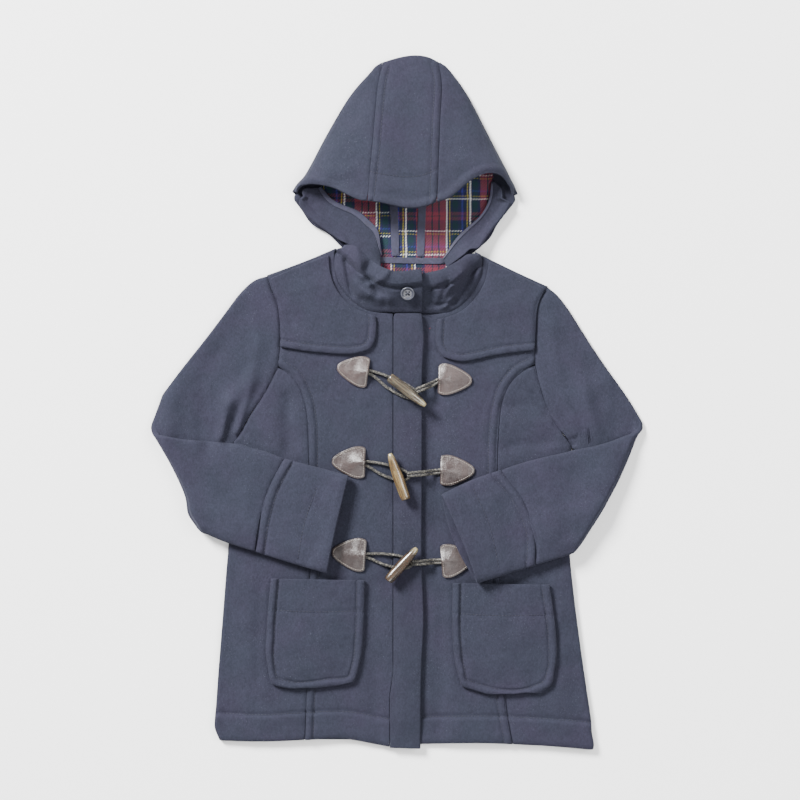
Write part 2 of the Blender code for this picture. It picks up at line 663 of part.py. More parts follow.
def ring(a, b, centre_z, half, turn, outward, bow, lower_bow=None, across_steps=5, corner_steps=2):
    """One closed section of a flattened sleeve between its edges a and b.

    The section starts on its upper side at a. It leans by turn about its own width, so the elbow can fold.
    bow(t) moves the points sideways in plan, t running from a to b.
    """
    a, b = np.array(a, float), np.array(b, float)
    width = np.linalg.norm(b - a)
    w = (b - a) / width
    up = np.array([-outward[0] * math.sin(turn), -outward[1] * math.sin(turn), math.cos(turn)])
    side = np.array([w[0], w[1], 0.0])
    places = []
    for k in range(across_steps + 1):
        places.append((half + (width - 2 * half) * k / across_steps, half, "upper"))
    for k in range(1, corner_steps + 1):
        angle = math.pi * k / (corner_steps + 1)
        places.append((width - half + half * math.sin(angle), half * math.cos(angle), "upper"))
    for k in range(across_steps + 1):
        places.append((width - half - (width - 2 * half) * k / across_steps, -half, "lower"))
    for k in range(1, corner_steps + 1):
        angle = math.pi * k / (corner_steps + 1)
        places.append((half - half * math.sin(angle), -half * math.cos(angle), "lower"))
    points = []
    for along, height, layer in places:
        t = along / width
        push = lower_bow(t) if lower_bow and layer == "lower" else bow(t)
        base = np.array([a[0] + push[0], a[1] + push[1], centre_z])
        points.append(base + side * along + up * height)
    return points


def armhole_bow(curve, sign, a, b, reach, share):
    """Moves a section's points from the line a to b towards the armhole's curve, moved out by the reach."""
    run = fractions(curve)
    along = np.gradient(curve, axis=0)
    along /= np.linalg.norm(along, axis=1)[:, None]
    away = np.stack([-along[:, 1], along[:, 0]], axis=1)
    away *= np.sign(away[:, :1].mean()) * sign
    target = curve + away * reach

    def bow(t):
        wanted = np.array([np.interp(t, run, target[:, 0]), np.interp(t, run, target[:, 1])])
        free = 1.0 if share == 1.0 else min(1.0, t / 0.06) * min(1.0, (1 - t) / 0.12)
        return (wanted - a - (b - a) * t) * free * share
    return bow


def arc_bow(direction, depth):
    """A shallow arc, deepest at the middle."""
    def bow(t):
        rise = depth * 4 * t * (1 - t)
        return (direction[0] * rise, direction[1] * rise)
    return bow


def scaled(bow, share):
    def smaller(t):
        dx, dy = bow(t)
        return (dx * share, dy * share)
    return smaller


def summed(first, second):
    def total(t):
        (ax, ay), (bx, by) = first(t), second(t)
        return (ax + bx, ay + by)
    return total


def by_share(curve, share):
    """The point at a share of a curve's length."""
    return at(curve, [share * lengths(curve)[-1]])[0]


def short_of_fold(curve, outward):
    """An edge of the sleeve, ended where the elbow's fold starts to turn over."""
    depth = (curve[-1] - curve) @ outward
    last = np.nonzero(depth > ELBOW_REACH)[0][-1]
    part = (depth[last] - ELBOW_REACH) / (depth[last] - depth[last + 1])
    return np.vstack([curve[: last + 1], curve[last] * (1 - part) + curve[last + 1] * part])


ELBOW_STEPS = 6
FORE_STEPS = 6
UPPER_STEPS = [0, 0.08, 0.2, 0.35, 0.52, 0.7, 0.86, 1.0]
UPPER_REACH = 110.0
SLEEVE_GAP = 1.3            # between the sleeve's first section and the armhole's line
SLEEVE_INSET = (2.0, 6.5)   # how far that section stops from the shoulder and from the armpit
SLEEVE_FOLDS = [
    # x0, y0, x1, y1, width, height
    (-262, -6, -185, -22, 11, 1.3),
    (-240, 35, -170, 5, 10, -0.9),
    (-215, 60, -160, 40, 12, 0.9),
    (255, 5, 205, -20, 11, 1.2),
    (235, 35, 175, 10, 10, -0.9),
    (-255, -62, -225, -120, 11, 1.2),
    (-205, -70, -185, -140, 13, -0.8),
    (245, -70, 222, -140, 11, 1.2),
    (200, -78, 190, -160, 13, -0.8),
]


def with_folds(middle, folds, layer_z):
    """Raises soft folds on the side of a flattened tube that faces up, above a given height."""
    facing_up = np.clip(normals(middle, True)[..., 2], 0, 1)
    middle = middle.copy()
    relief = fold_relief(middle[..., 0], middle[..., 1], folds)
    middle[..., 2] += relief * facing_up * ease((middle[..., 2] - layer_z) / 2)
    return middle


def sleeve(side):
    """Sleeve from the armhole down, folded over at the elbow, up to the welt of its cuff."""
    shape = SLEEVES[side]
    sign = -1 if side == "right" else 1
    outer, inner = smooth(shape["outer"]), smooth(shape["inner"])
    top, low = smooth(shape["fore_top"]), smooth(shape["fore_low"])
    fold_a, fold_b = outer[-1], inner[-1]
    f = (fold_b - fold_a) / np.linalg.norm(fold_b - fold_a)
    outward = np.array([-f[1], f[0]])
    outward *= sign * np.sign(outward[0])
    outer, inner, top, low = [short_of_fold(c, outward) for c in (outer, inner, top[::-1], low[::-1])]
    top, low = top[::-1], low[::-1]
    fold_bow = arc_bow(outward, shape["fold_bow"])
    armhole = np.vstack([smooth(ARMHOLE_HIGH[side][::-1]), smooth(ARMHOLE_LOW[side][::-1])[1:]])
    armhole = even(armhole, 40, [SLEEVE_INSET[0]], [SLEEVE_INSET[1]])[1:-1]
    rings = []
    for s in UPPER_STEPS:
        a, b = by_share(outer, s), by_share(inner, s)
        if s == 0:
            a, b = armhole[0], armhole[-1]
        reach = SLEEVE_GAP + s * UPPER_REACH
        share = 1.0 if s == 0 else 0.999 if s < 0.15 else (1 - (s - 0.1) / 0.9) ** 2
        bow = summed(armhole_bow(armhole, sign, a, b, reach, share), scaled(fold_bow, s**3))
        rings.append(ring(a, b, UPPER_Z, TUBE_MIDDLE, 0, outward, bow))
    for k in range(1, ELBOW_STEPS):
        turn = math.pi * k / ELBOW_STEPS
        over = (1 - math.cos(turn)) / 2
        shift = outward * ELBOW * math.sin(turn)
        a = outer[-1] * (1 - over) + top[0] * over + shift
        b = inner[-1] * (1 - over) + low[0] * over + shift
        rings.append(ring(a, b, UPPER_Z + 2 * ELBOW * over, TUBE_MIDDLE, turn, outward, fold_bow))
    forward = np.array([-sign, -0.25])
    welt = arc_bow(forward, -abs(shape["welt_bow"]))
    for k in range(FORE_STEPS + 1):
        s = k / FORE_STEPS
        bow = summed(scaled(welt, s**2), scaled(fold_bow, (1 - s) ** 3))
        z = FORE_Z + shape["fore_rise"] * ease(s)
        rings.append(ring(by_share(top, s), by_share(low, s), z, TUBE_MIDDLE, math.pi, outward, bow))
    middle = np.array(rings)
    if side == "left":
        middle = middle[:, ::-1]
    split = len(UPPER_STEPS)
    upper_arm = with_folds(middle[:split], SLEEVE_FOLDS[:5], UPPER_Z)
    forearm = with_folds(middle[split:], SLEEVE_FOLDS[5:], FORE_Z)
    return wall("sleeve_%s" % side, np.concatenate([upper_arm, forearm]), closed=True)


WELT_WIDTH = 10.0           # the cuff's seam allowance, stitched down beside the welt
WELT_RISE = 0.7
WELT_GAP = 0.5
CUFF_STOPS = [WELT_GAP, 2.0, WELT_WIDTH - 0.5, WELT_WIDTH + 2.0, 30.0, 48.0, 62.0, 1000.0]    # to the mouth


def cuff(side):
    """Cuff section beyond the welt, its mouth a little open."""
    shape, above = CUFFS[side], SLEEVES[side]
    sign = -1 if side == "right" else 1
    outward = np.array([sign, 0.0])
    top, low = smooth(shape["top"]), smooth(shape["low"])
    forward = np.array([-sign, -0.25])
    welt = arc_bow(forward, -abs(above["welt_bow"]))
    mouth = arc_bow(forward, -abs(shape["mouth_bow"]))
    lip = arc_bow(forward, shape["lip"])
    rings, relief = [], []
    for stop in CUFF_STOPS:
        s = min(1.0, stop / lengths(top)[-1])
        a = at(top, [s * lengths(top)[-1]])[0]
        b = at(low, [WELT_GAP + s * (lengths(low)[-1] - WELT_GAP)])[0]
        half = TUBE_MIDDLE + (shape["mouth_half"] - TUBE_HALF) * ease((s - 0.2) / 0.8)
        z = FORE_Z + above["fore_rise"] + shape["rise"] * ease((s - 0.15) / 0.85)

        def bow(t, s=s):
            start, end = welt(t), mouth(t)
            return (start[0] * (1 - s) ** 2 + end[0] * s**2, start[1] * (1 - s) ** 2 + end[1] * s**2)

        def lower(t, s=s, bow=bow):
            here, further = bow(t), lip(t)
            return (here[0] + further[0] * s**2, here[1] + further[1] * s**2)
        rings.append(ring(a, b, z, half, math.pi, outward, lower, bow))
        relief.append(np.full(len(rings[-1]), WELT_RISE if 1.0 < stop < WELT_WIDTH else 0.0))
    middle = np.array(rings)
    if side == "left":
        middle = middle[:, ::-1]
    return wall("cuff_%s" % side, middle, closed=True, relief=np.array(relief))


# ---------------------------------------------------------------- hood

HOOD_SEAM_TOP = {
    "right": [(-18, 386), (-21, 376), (-26, 333), (-30, 284), (-35, 241), (-36, 232)],
    "left": [(47, 386), (49, 377), (48, 321), (46, 270), (45, 239), (44, 226)],
}
HOOD_SEAM_LOW = {
    "right": [(-18, 386), (-15, 340), (-10, 290), (-5, 235), (-3, 190), (-3, 161)],
    "left": [(47, 386), (43, 340), (36, 290), (28, 235), (26, 190), (26, 159)],
}
HOOD_FOLD = {
    "right": [(-20, 390), (-32, 378), (-50, 359), (-74, 321), (-88, 296), (-104, 265), (-119, 241)],
    "left": [(50, 390), (62, 378), (76, 359), (100, 314), (119, 277), (132, 251), (135, 238)],
}
FOREHEAD = {
    "right": [(-36, 232), (-51, 237), (-88, 247), (-110, 247), (-116, 241)],
    "left": [(44, 226), (57, 230), (76, 246), (98, 260), (112, 261), (124, 253), (130, 240)],
}
FOREHEAD_MIDDLE = [(-36, 232), (-17, 227), (6, 223), (25, 221), (44, 226)]
CROWN = [(-18, 386), (0, 391), (20, 394), (36, 392), (47, 386)]
HOOD_HEM = {
    "right": [(-113, 239), (-115.2, 234.5), (-114.5, 228), (-107.5, 216), (-92, 202), (-76, 190.5), (-67, 183),
              (-64, 174), (-50, 167), (-30, 163.4), (-3, 160.6)],
    "left": [(129, 238), (131, 233.5), (129.5, 226), (122, 213.5), (109, 197.5), (99.5, 184), (92.5, 173.5),
             (84, 167), (70, 162.6), (50, 159.4), (26, 158.8)],
}
HOOD_FOLD_START = 2.8       # radius of the hood's side fold at the crown
HOOD_FOLD_END = 4.8         # and at the corners of the face opening
HOOD_CROWN_Z = 8.5
HOOD_PEAK_Z = 38.0
HOOD_RIM_LIFT = 3.0         # the lower layer stands off the surface beside the face opening
HOOD_ROWS = 10
HOOD_COLUMNS = 9
HOOD_CORNER_STOPS = [8.0, 18.0, 30.0, 44.0]   # denser points round the corner of the face opening
CROWN_CORNER = 2.2          # width of the side piece's narrow end at the crown
HOOD_CORNER_FROM = 0.78     # share of the way down from which the lower layer takes on its hem's curve
FOLD_START = 38             # degrees from the top of the side fold where the upper layer runs into it
FOLD_ANGLES = (68, 98, 138)


def hood_rows():
    return np.linspace(0, 1, HOOD_ROWS + 1)


def fold_radius(v):
    return HOOD_FOLD_START + (HOOD_FOLD_END - HOOD_FOLD_START) * v**2


def hood_height(e, v):
    """Height of the hood's upper layer; e runs from the middle to the side fold, v from crown to forehead."""
    low = BACK_Z + fold_radius(v) * (1 + math.cos(math.radians(FOLD_START)))
    peak = HOOD_CROWN_Z + (HOOD_PEAK_Z - HOOD_CROWN_Z) * v**0.85
    return low + np.maximum(peak - low, 0) * np.clip(1 - np.abs(e) ** 2.3, 0, 1) ** 0.9


def seam_share(side, v):
    """Where the centre seam lies between the hood's middle (0) and its side fold (1)."""
    seam = at(smooth(HOOD_SEAM_TOP[side]), v * lengths(smooth(HOOD_SEAM_TOP[side]))[-1])
    fold = at(smooth(HOOD_FOLD[side]), v * lengths(smooth(HOOD_FOLD[side]))[-1])
    other = at(smooth(HOOD_SEAM_TOP["left" if side == "right" else "right"]),
               v * lengths(smooth(HOOD_SEAM_TOP["left" if side == "right" else "right"]))[-1])
    half = np.linalg.norm(seam - other, axis=1) / 2
    return half / (half + np.linalg.norm(fold - seam, axis=1))


def by_rows(points, v):
    curve = smooth(points)
    return at(curve, v * lengths(curve)[-1])


def hood_side(side):
    """Side of the hood: from the centre seam out to the side fold, then back underneath to the centre seam."""
    v = hood_rows()
    inside = np.array([5.0, 300.0])
    fold = outline_inset(HOOD_FOLD[side], 0.0, inside)
    fold = at(fold, v * lengths(fold)[-1])
    along = np.gradient(fold, axis=0)
    along /= np.linalg.norm(along, axis=1)[:, None]
    outward = np.stack([-along[:, 1], along[:, 0]], axis=1)
    outward *= np.sign(np.sum(outward * (fold - inside), axis=1))[:, None]
    radius = fold_radius(v)[:, None]
    turn_in = fold - outward * (radius + HALF)
    seam_top, seam_low = by_rows(HOOD_SEAM_TOP[side], v), by_rows(HOOD_SEAM_LOW[side], v)
    turn_in[0] = seam_top[0] + outward[0] * CROWN_CORNER
    top_end = turn_in + outward * radius * math.sin(math.radians(FOLD_START))
    crown_top = np.linspace(seam_top[0], top_end[0], HOOD_COLUMNS + 1)
    corner = HOOD_CORNER_STOPS
    forehead = even(smooth(FOREHEAD[side]), HOOD_COLUMNS - len(corner), (), corner[::-1])
    forehead[-1] = top_end[-1]
    top = patch(crown_top, forehead, seam_top, top_end)
    crown_low = np.linspace(seam_low[0], turn_in[0], HOOD_COLUMNS + 1)
    hem = even(smooth(HOOD_HEM[side]), HOOD_COLUMNS - len(corner), corner)[::-1]
    hem[-1] = turn_in[-1]
    u = np.linspace(0, 1, HOOD_COLUMNS + 1)[None, :]
    rounded = ease((v - HOOD_CORNER_FROM) / (1 - HOOD_CORNER_FROM))[:, None, None]
    straight = seam_low[:, None] * (1 - u[..., None]) + turn_in[:, None] * u[..., None]
    low = straight * (1 - rounded) + patch(crown_low, hem, seam_low, turn_in) * rounded
    share = seam_share(side, v)[:, None]
    top_z = hood_height(share + (1 - share) * u, v[:, None])
    rise = HOOD_RIM_LIFT * ease((v[:, None] - 0.88) / 0.12)
    rise = rise * ease((u - 0.35) / 0.25) * (1 - ease((u - 0.9) / 0.1))
    low_z = BACK_Z + rise
    columns = [np.concatenate([top, top_z[..., None]], axis=2)]
    centre_z = BACK_Z + radius
    for angle in FOLD_ANGLES:
        a = math.radians(angle)
        xy = turn_in + outward * radius * math.sin(a)
        columns.append(np.concatenate([xy, centre_z + radius * math.cos(a)], axis=1)[:, None])
    columns.append(np.concatenate([low, low_z[..., None]], axis=2)[:, ::-1])
    middle = np.concatenate(columns, axis=1)
    middle = seamed(middle, left=True, right=True)
    if side == "left":
        middle = middle[::-1]
    else:
        middle = middle[::-1][:, ::-1]
    return wall("hood_side_%s" % side, middle)


def seamed(middle, left=False, right=False, bottom=False, top=False, gap=SEAM / 2):
    """Draws chosen borders of a grid in space inwards by the gap."""
    middle = middle.copy()
    jobs = [(left, np.s_[:, 0], np.s_[:, 1]), (right, np.s_[:, -1], np.s_[:, -2]),
            (bottom, np.s_[0], np.s_[1]), (top, np.s_[-1], np.s_[-2])]
    for wanted, rim, inner in jobs:
        if wanted:
            inwards = middle[inner] - middle[rim]
            inwards /= np.linalg.norm(inwards, axis=-1)[..., None]
            middle[rim] = middle[rim] + inwards * gap
    return middle


def hood_centre():
    """Centre strip of the hood: forehead to crown, over the crown's fold and down underneath to the nape."""
    v = hood_rows()
    s = np.linspace(-1, 1, 7)
    right_top, left_top = by_rows(HOOD_SEAM_TOP["right"], v), by_rows(HOOD_SEAM_TOP["left"], v)
    right_low, left_low = by_rows(HOOD_SEAM_LOW["right"], v), by_rows(HOOD_SEAM_LOW["left"], v)
    crown = edge(CROWN, 6)
    top = patch(crown, edge(FOREHEAD_MIDDLE, 6), right_top, left_top)
    nape = np.linspace(right_low[-1], left_low[-1], 7)
    low = patch(crown, nape, right_low, left_low)
    share = np.where(s < 0, seam_share("right", v)[:, None] * -s, seam_share("left", v)[:, None] * s)
    top_z = hood_height(share, v[:, None])
    layers = [np.concatenate([top, top_z[..., None]], axis=2)[::-1]]
    radius = (top_z[0] - BACK_Z) / 2
    for angle in (45, 90, 135):
        a = math.radians(angle)
        xy = crown + np.outer(radius * math.sin(a), [0, 1])
        layers.append(np.concatenate([xy, (BACK_Z + radius * (1 + math.cos(a)))[:, None]], axis=1)[None])
    layers.append(np.concatenate([low, np.full(low.shape[:2] + (1,), BACK_Z)], axis=2))
    middle = seamed(np.concatenate(layers, axis=0), left=True, right=True)
    return wall("hood_centre", middle)


NECK_RIM = {
    # x, y, z along the rim under the chin, from the shoulder in for the right band, from the middle out for the left
    "right": [(-65, 183, 9.5), (-59, 177, 12), (-51, 169, 15), (-37, 156, 20), (-27, 149, 24), (-17, 144, 26.5),
              (-3, 140, 28), (12, 141, 28.5), (28, 143, 28.5)],
    "left": [(-4, 137, 21), (14, 137, 22), (32, 138.5, 23.5), (43, 140.5, 26), (55, 144, 26), (68, 151, 23),
             (81, 160, 17), (89, 168, 12), (91, 175, 9.5)],
}
BAND_SEAM = {
    "right": [(-73.3, 166), (-74, 157), (-70, 138), (-61, 124), (-49, 112), (-34, 104), (-9, 102), (10, 101.6),
              (28, 101.6)],
    "left": [(-8, 101.2), (28, 101.2), (46, 100.8), (54, 101), (70, 108), (84, 121), (94, 137), (98, 152), (97, 162)],
}
BAND_INSET = {"right": 1.4, "left": 1.8}    # the band stands this far inside the neck seam's line


NECK_FOLDS = [
    # x0, y0, x1, y1, width, height
    (-48, 158, -33, 120, 6, -2.2),
    (-60, 150, -47, 126, 6, 1.6),
    (-30, 140, -24, 116, 6, 1.2),
    (46, 136, 62, 116, 6, -2.2),
    (60, 146, 76, 126, 6, 1.8),
    (74, 152, 86, 138, 5, -1.5),
]


BAND_SHARES = [0, 0.1, 0.35, 0.6, 0.78, 0.92, 1.0]     # rows from the neck seam (0) to the rim (1)
BAND_COLUMNS = 13
BAND_SWELL = 2.0
NECK_MIDDLE = (8, 150)
BAND_RIM_RISE = 0.6


def neck_band(side):
    """Lower front of the hood, standing up from the neck seam to the rim under the chin."""
    rim = even(smooth(NECK_RIM[side], 4), BAND_COLUMNS)
    plan = even(outline_inset(BAND_SEAM[side], BAND_INSET[side], NECK_MIDDLE), BAND_COLUMNS)
    x, y = plan[:, 0], plan[:, 1]
    z = front_height(x, y, side)
    if side == "right":
        on_placket = ease((x + 24) / 10)
        z = z * (1 - on_placket) + PLACKET_Z * on_placket
    seam = np.concatenate([plan, z[:, None]], axis=1)
    rows = []
    for share in BAND_SHARES:
        row = seam * (1 - share) + rim * share
        row[:, 2] += BAND_SWELL * math.sin(math.pi * share)
        rows.append(row)
    middle = np.array(rows)
    rising = np.sin(math.pi * np.array(BAND_SHARES))[:, None]
    middle[..., 2] += fold_relief(middle[..., 0], middle[..., 1], NECK_FOLDS) * rising
    relief = np.zeros(middle.shape[:2])
    relief[4:6] = BAND_RIM_RISE
    return wall("neck_band_%s" % side, middle, relief=relief)


FACING = {
    # outer edge under the rim x, y, z, then bound inner edge x, y, z
    "right": [(-108, 238, 7.6, -88, 247, 4.2), (-106, 224, 7.2, -76, 232, 4.2), (-90, 208.5, 7.6, -60, 223, 4.2),
              (-67, 189.5, 9.5, -41, 211, 4.2), (-52, 177, 13, -27, 197, 4.2), (-38, 165.5, 17, -22, 186, 4.6),
              (-20, 151, 22.5, -21, 171, 6.0)],
    "left": [(119, 240, 7.6, 107, 252, 4.2), (121, 226, 7.6, 105, 232, 4.8), (113, 213, 8.2, 95, 213, 4.9),
             (101, 199, 9.0, 81, 201, 4.6), (90, 184, 11.5, 67, 188, 4.4), (77, 169, 16.5, 60, 177, 4.8),
             (56, 153, 22, 52, 164, 6.0)],
}

FACING_SHARES = [0, 0.1, 0.3, 0.55, 0.8, 1.0]          # rows from the outer edge (0) to the bound edge (1)
BINDING_SHARES = [0.8, 0.9, 0.985]


def facing_rows(side, shares):
    table = np.array(FACING[side], float)
    outer, inner = even(smooth(table[:, :3], 4), 10), even(smooth(table[:, 3:], 4), 10)
    rows = []
    for share in shares:
        row = outer * (1 - share) + inner * share
        row[:, 2] = outer[:, 2] + (inner[:, 2] - outer[:, 2]) * (1 - (1 - share) ** 1.7)
        rows.append(row)
    return np.array(rows)


def facing(side):
    """Facing inside the hood's front edge."""
    grid = facing_rows(side, FACING_SHARES)
    if side == "left":
        grid = grid[:, ::-1]
    return wall("hood_facing_%s" % side, grid)


def facing_tape(side):
    """Binding along the facing's inner edge, laid on it."""
    grid = facing_rows(side, BINDING_SHARES)
    if side == "left":
        grid = grid[:, ::-1]
    lifted = grid + normals(grid) * (HALF + SEAM + TAPE / 2 + 0.1)
    return wall("facing_tape_%s" % side, lifted, "tape", TAPE)


TAPE_WIDTH = 9.0
NECK_TAPE = [(-24, 162.5), (0, 162), (28, 161.5), (54, 161)]
NECK_TAPE_WIDTH = 7.0
TAPE_Z = CLOTH + SEAM + TAPE / 2
SEAM_TAPES = {
    "right": [(-3, 166.5), (-3.5, 190), (-5.5, 235), (-8, 262)],
    "left": [(26, 166), (26.5, 190), (28.5, 235), (31, 262)],
}


def flat_tape(node, line, width, z, count):
    """A tape lying flat along a line."""
    curve = edge(line, count)
    along = np.gradient(curve, axis=0)
    along /= np.linalg.norm(along, axis=1)[:, None]
    across = np.stack([-along[:, 1], along[:, 0]], axis=1)
    rows = []
    for share in (-0.5, 0, 0.5):
        row = curve + across * width * share
        rows.append(np.concatenate([row, np.full((len(row), 1), z)], axis=1))
    return wall(node, np.array(rows), "tape", TAPE)


# ---------------------------------------------------------------- fasteners

CORD = 1.65                 # radius of the braided cord
CORD_PITCH = 2 * CORD + 0.35

FASTENERS = {
    # tip and inner edge's middle of the loop's patch and of the toggle's patch, then the toggle's ends and waist
    "1": {"loop_tip": (-70, 39), "loop_base": (-35, 33.5), "toggle_tip": (85, 23), "toggle_base": (52, 24.5),
          "blunt": (-9, 27), "point": (31, -5), "waist": (14, 9)},
    "2": {"loop_tip": (-76, -70), "loop_base": (-42, -71), "toggle_tip": (88, -81), "toggle_base": (56, -80.5),
          "blunt": (9, -112), "point": (-9, -61), "waist": (4, -85)},
    "3": {"loop_tip": (-76, -174), "loop_base": (-40, -177), "toggle_tip": (87, -181), "toggle_base": (55, -184),
          "blunt": (-11, -205), "point": (21, -169), "waist": (7, -186)},
}
PATCH_HALF = 15.5           # half the length of a patch's inner edge
TOGGLE_RADIUS = 5.5
TOGGLE_PROFILE = [
    # place along, radius
    (-1.0, 4.3), (-0.94, 5.1), (-0.55, 5.4), (-0.1, TOGGLE_RADIUS), (0.3, 5.2), (0.65, 4.2), (0.88, 2.9),
    (1.0, 1.5),
]
PATCH_SHAPE = [
    # share of the patch's length from its tip, share of its full width there
    (0.0, 0.14), (0.05, 0.30), (0.2, 0.52), (0.5, 0.84), (0.74, 1.0), (0.93, 0.97), (1.0, 0.86),
]
PATCH_COLUMNS = [-1, -0.7, -0.34, -0.13, 0.13, 0.34, 0.7, 1]
PATCH_EDGE = 0.25           # the leather is thinner by this at its edge and thicker inside it
ARCH_HEIGHT = 4.6           # the low arch over the cords' ends
ARCH_WIDTH = 6.6
CORD_TAIL = 6.0             # how far a cord runs in under its patch
CORD_OUT = 1.0              # and straight out of it
LOOP_HALF_WIDTH = 6.2
RIM_CLEAR = 0.75            # lift that clears the raised rims and hems of the panel below


def patch_axes(tip, base):
    """A patch's tip, the middle of its inner edge, its two directions in plan and its length."""
    tip, base = np.array(tip, float), np.array(base, float)
    axis = (base - tip) / np.linalg.norm(base - tip)
    across = np.array([-axis[1], axis[0]])
    return tip, base, axis, across, np.linalg.norm(base - tip)


def leather_patch(node, tip, base, side):
    """Leather patch stitched over the ends of the cords, which it bridges with a low arch."""
    tip, base, axis, across, length = patch_axes(tip, base)
    grid = np.array([[tip + axis * length * place + across * PATCH_HALF * width * s for s in PATCH_COLUMNS]
                     for place, width in PATCH_SHAPE])
    local = (grid - tip) @ across
    depth = (grid - tip) @ axis / length
    middle = on_front(grid, side, HALF + RIM_CLEAR + SEAM + LEATHER / 2)
    middle[..., 2] = np.maximum(middle[..., 2], middle[..., 2].mean() - 0.6)
    middle[..., 2] += ARCH_HEIGHT * bump(local, ARCH_WIDTH) * ease((depth - 0.52) / 0.3)
    if normals(middle)[..., 2].mean() < 0:
        middle = middle[::-1]
    relief = np.full(grid.shape[:2], PATCH_EDGE)
    relief[0] = relief[-1] = relief[:, 0] = relief[:, -1] = -PATCH_EDGE
    return wall(node, middle, "leather", LEATHER, relief=relief)


def cord_height(x, y):
    """Height of a cord's middle where it lies on the fronts and the placket."""
    x, y = np.asarray(x, float), np.asarray(y, float)
    right = front_height(x, y, "right")
    left = front_height(x, y, "left")
    on_placket = PLACKET_Z + PLACKET / 2
    ground = np.where(x < -9, right + HALF + 0.7, left + HALF + 0.7)
    near = ease((x + 22) / 10) * (1 - ease((x - 30) / 12))
    ground = np.maximum(ground, ground * (1 - near) + on_placket * near)
    return ground + SEAM + CORD + 0.1


def loop_cord(node, fastener):
    """Loop from its patch, round behind the toggle and back."""
    tip, base = np.array(fastener["loop_tip"], float), np.array(fastener["loop_base"], float)
    waist = np.array(fastener["waist"], float)
    axis = (base - tip) / np.linalg.norm(base - tip)
    across = np.array([-axis[1], axis[0]])
    towards = (waist - base) / np.linalg.norm(waist - base)
    sideways = np.array([-towards[1], towards[0]])
    start = base - axis * CORD_TAIL
    reach = np.linalg.norm(waist - base)
    upper = [start + across * CORD_PITCH / 2, base + across * CORD_PITCH / 2 + axis * CORD_OUT,
             base + towards * reach * 0.55 + sideways * LOOP_HALF_WIDTH,
             base + towards * (reach - 1.0) + sideways * LOOP_HALF_WIDTH,
             base + towards * (reach + 6.0) + sideways * LOOP_HALF_WIDTH * 0.62]
    end = base + towards * (reach + 9.0)
    lower = [p - 2 * sideways * ((p - base) @ sideways) for p in upper]
    lower[0] = start - across * CORD_PITCH / 2
    lower[1] = base - across * CORD_PITCH / 2 + axis * CORD_OUT
    route = even(smooth(upper + [end] + lower[::-1], 6), 22)
    z = cord_height(route[:, 0], route[:, 1])
    return tube(node, np.concatenate([route, z[:, None]], axis=1), CORD, "cord")


def toggle_height(fastener):
    """Height of a toggle's axis, which rests on the loop."""
    x, y = fastener["waist"]
    return float(cord_height(x, y)) + CORD + SEAM + TOGGLE_RADIUS


def toggle_cord(node, fastener, side_sign):
    """One strand that holds the toggle, from its patch over the loop's end to the toggle's waist."""
    tip, base = np.array(fastener["toggle_tip"], float), np.array(fastener["toggle_base"], float)
    waist = np.array(fastener["waist"], float)
    axis = (base - tip) / np.linalg.norm(base - tip)
    across = np.array([-axis[1], axis[0]])
    towards = (waist - base) / np.linalg.norm(waist - base)
    sideways = np.array([-towards[1], towards[0]])
    reach = np.linalg.norm(waist - base)
    pitch = CORD_PITCH / 2 * side_sign
    blunt, point = np.array(fastener["blunt"], float), np.array(fastener["point"], float)
    lie = (point - blunt) / np.linalg.norm(point - blunt)
    sine = abs(lie[0] * towards[1] - lie[1] * towards[0])
    stop = (TOGGLE_RADIUS + SEAM) / sine + CORD * math.sqrt(1 - sine**2) / sine
    end = base + towards * (reach - stop) + sideways * pitch
    plan = [base - axis * CORD_TAIL + across * pitch, base + across * pitch + axis * CORD_OUT,
            base + towards * reach * 0.4 + sideways * pitch,
            base + towards * (reach - 15) + sideways * pitch, end]
    route = even(smooth(plan, 6), 13)
    z = cord_height(route[:, 0], route[:, 1])
    over = float(cord_height(*waist)) + 2 * CORD + SEAM + 0.15
    climb = ease((np.linalg.norm(route - base, axis=1) - reach * 0.25) / (reach - 15 - reach * 0.25))
    z = np.maximum(z, z * (1 - climb) + over * climb)
    return tube(node, np.concatenate([route, z[:, None]], axis=1), CORD, "cord")


def toggle(node, fastener):
    blunt, point = np.array(fastener["blunt"], float), np.array(fastener["point"], float)
    half = np.linalg.norm(point - blunt) / 2
    middle = (blunt + point) / 2
    profile = [(place * half, radius) for place, radius in TOGGLE_PROFILE]
    axis = (point[0] - blunt[0], point[1] - blunt[1], 0)
    centre = np.array([middle[0], middle[1], toggle_height(fastener)])
    return turned(node, profile, centre, axis, "horn")


BUTTON_PLACE = (11.0, 124.5)
BUTTON_LEAN = 26.5          # degrees that the chin's tab slopes
BUTTON_SEAT_Z = 21.5
BUTTON_CLEAR = 0.55
BUTTON_PROFILE = [(0.0, 6.4), (0.5, 7.6), (1.9, 8.3), (3.1, 8.1), (3.5, 7.4), (3.2, 6.3), (2.3, 5.4)]
BUTTON_HOLE = 0.85
BUTTON_HOLE_PITCH = 1.75


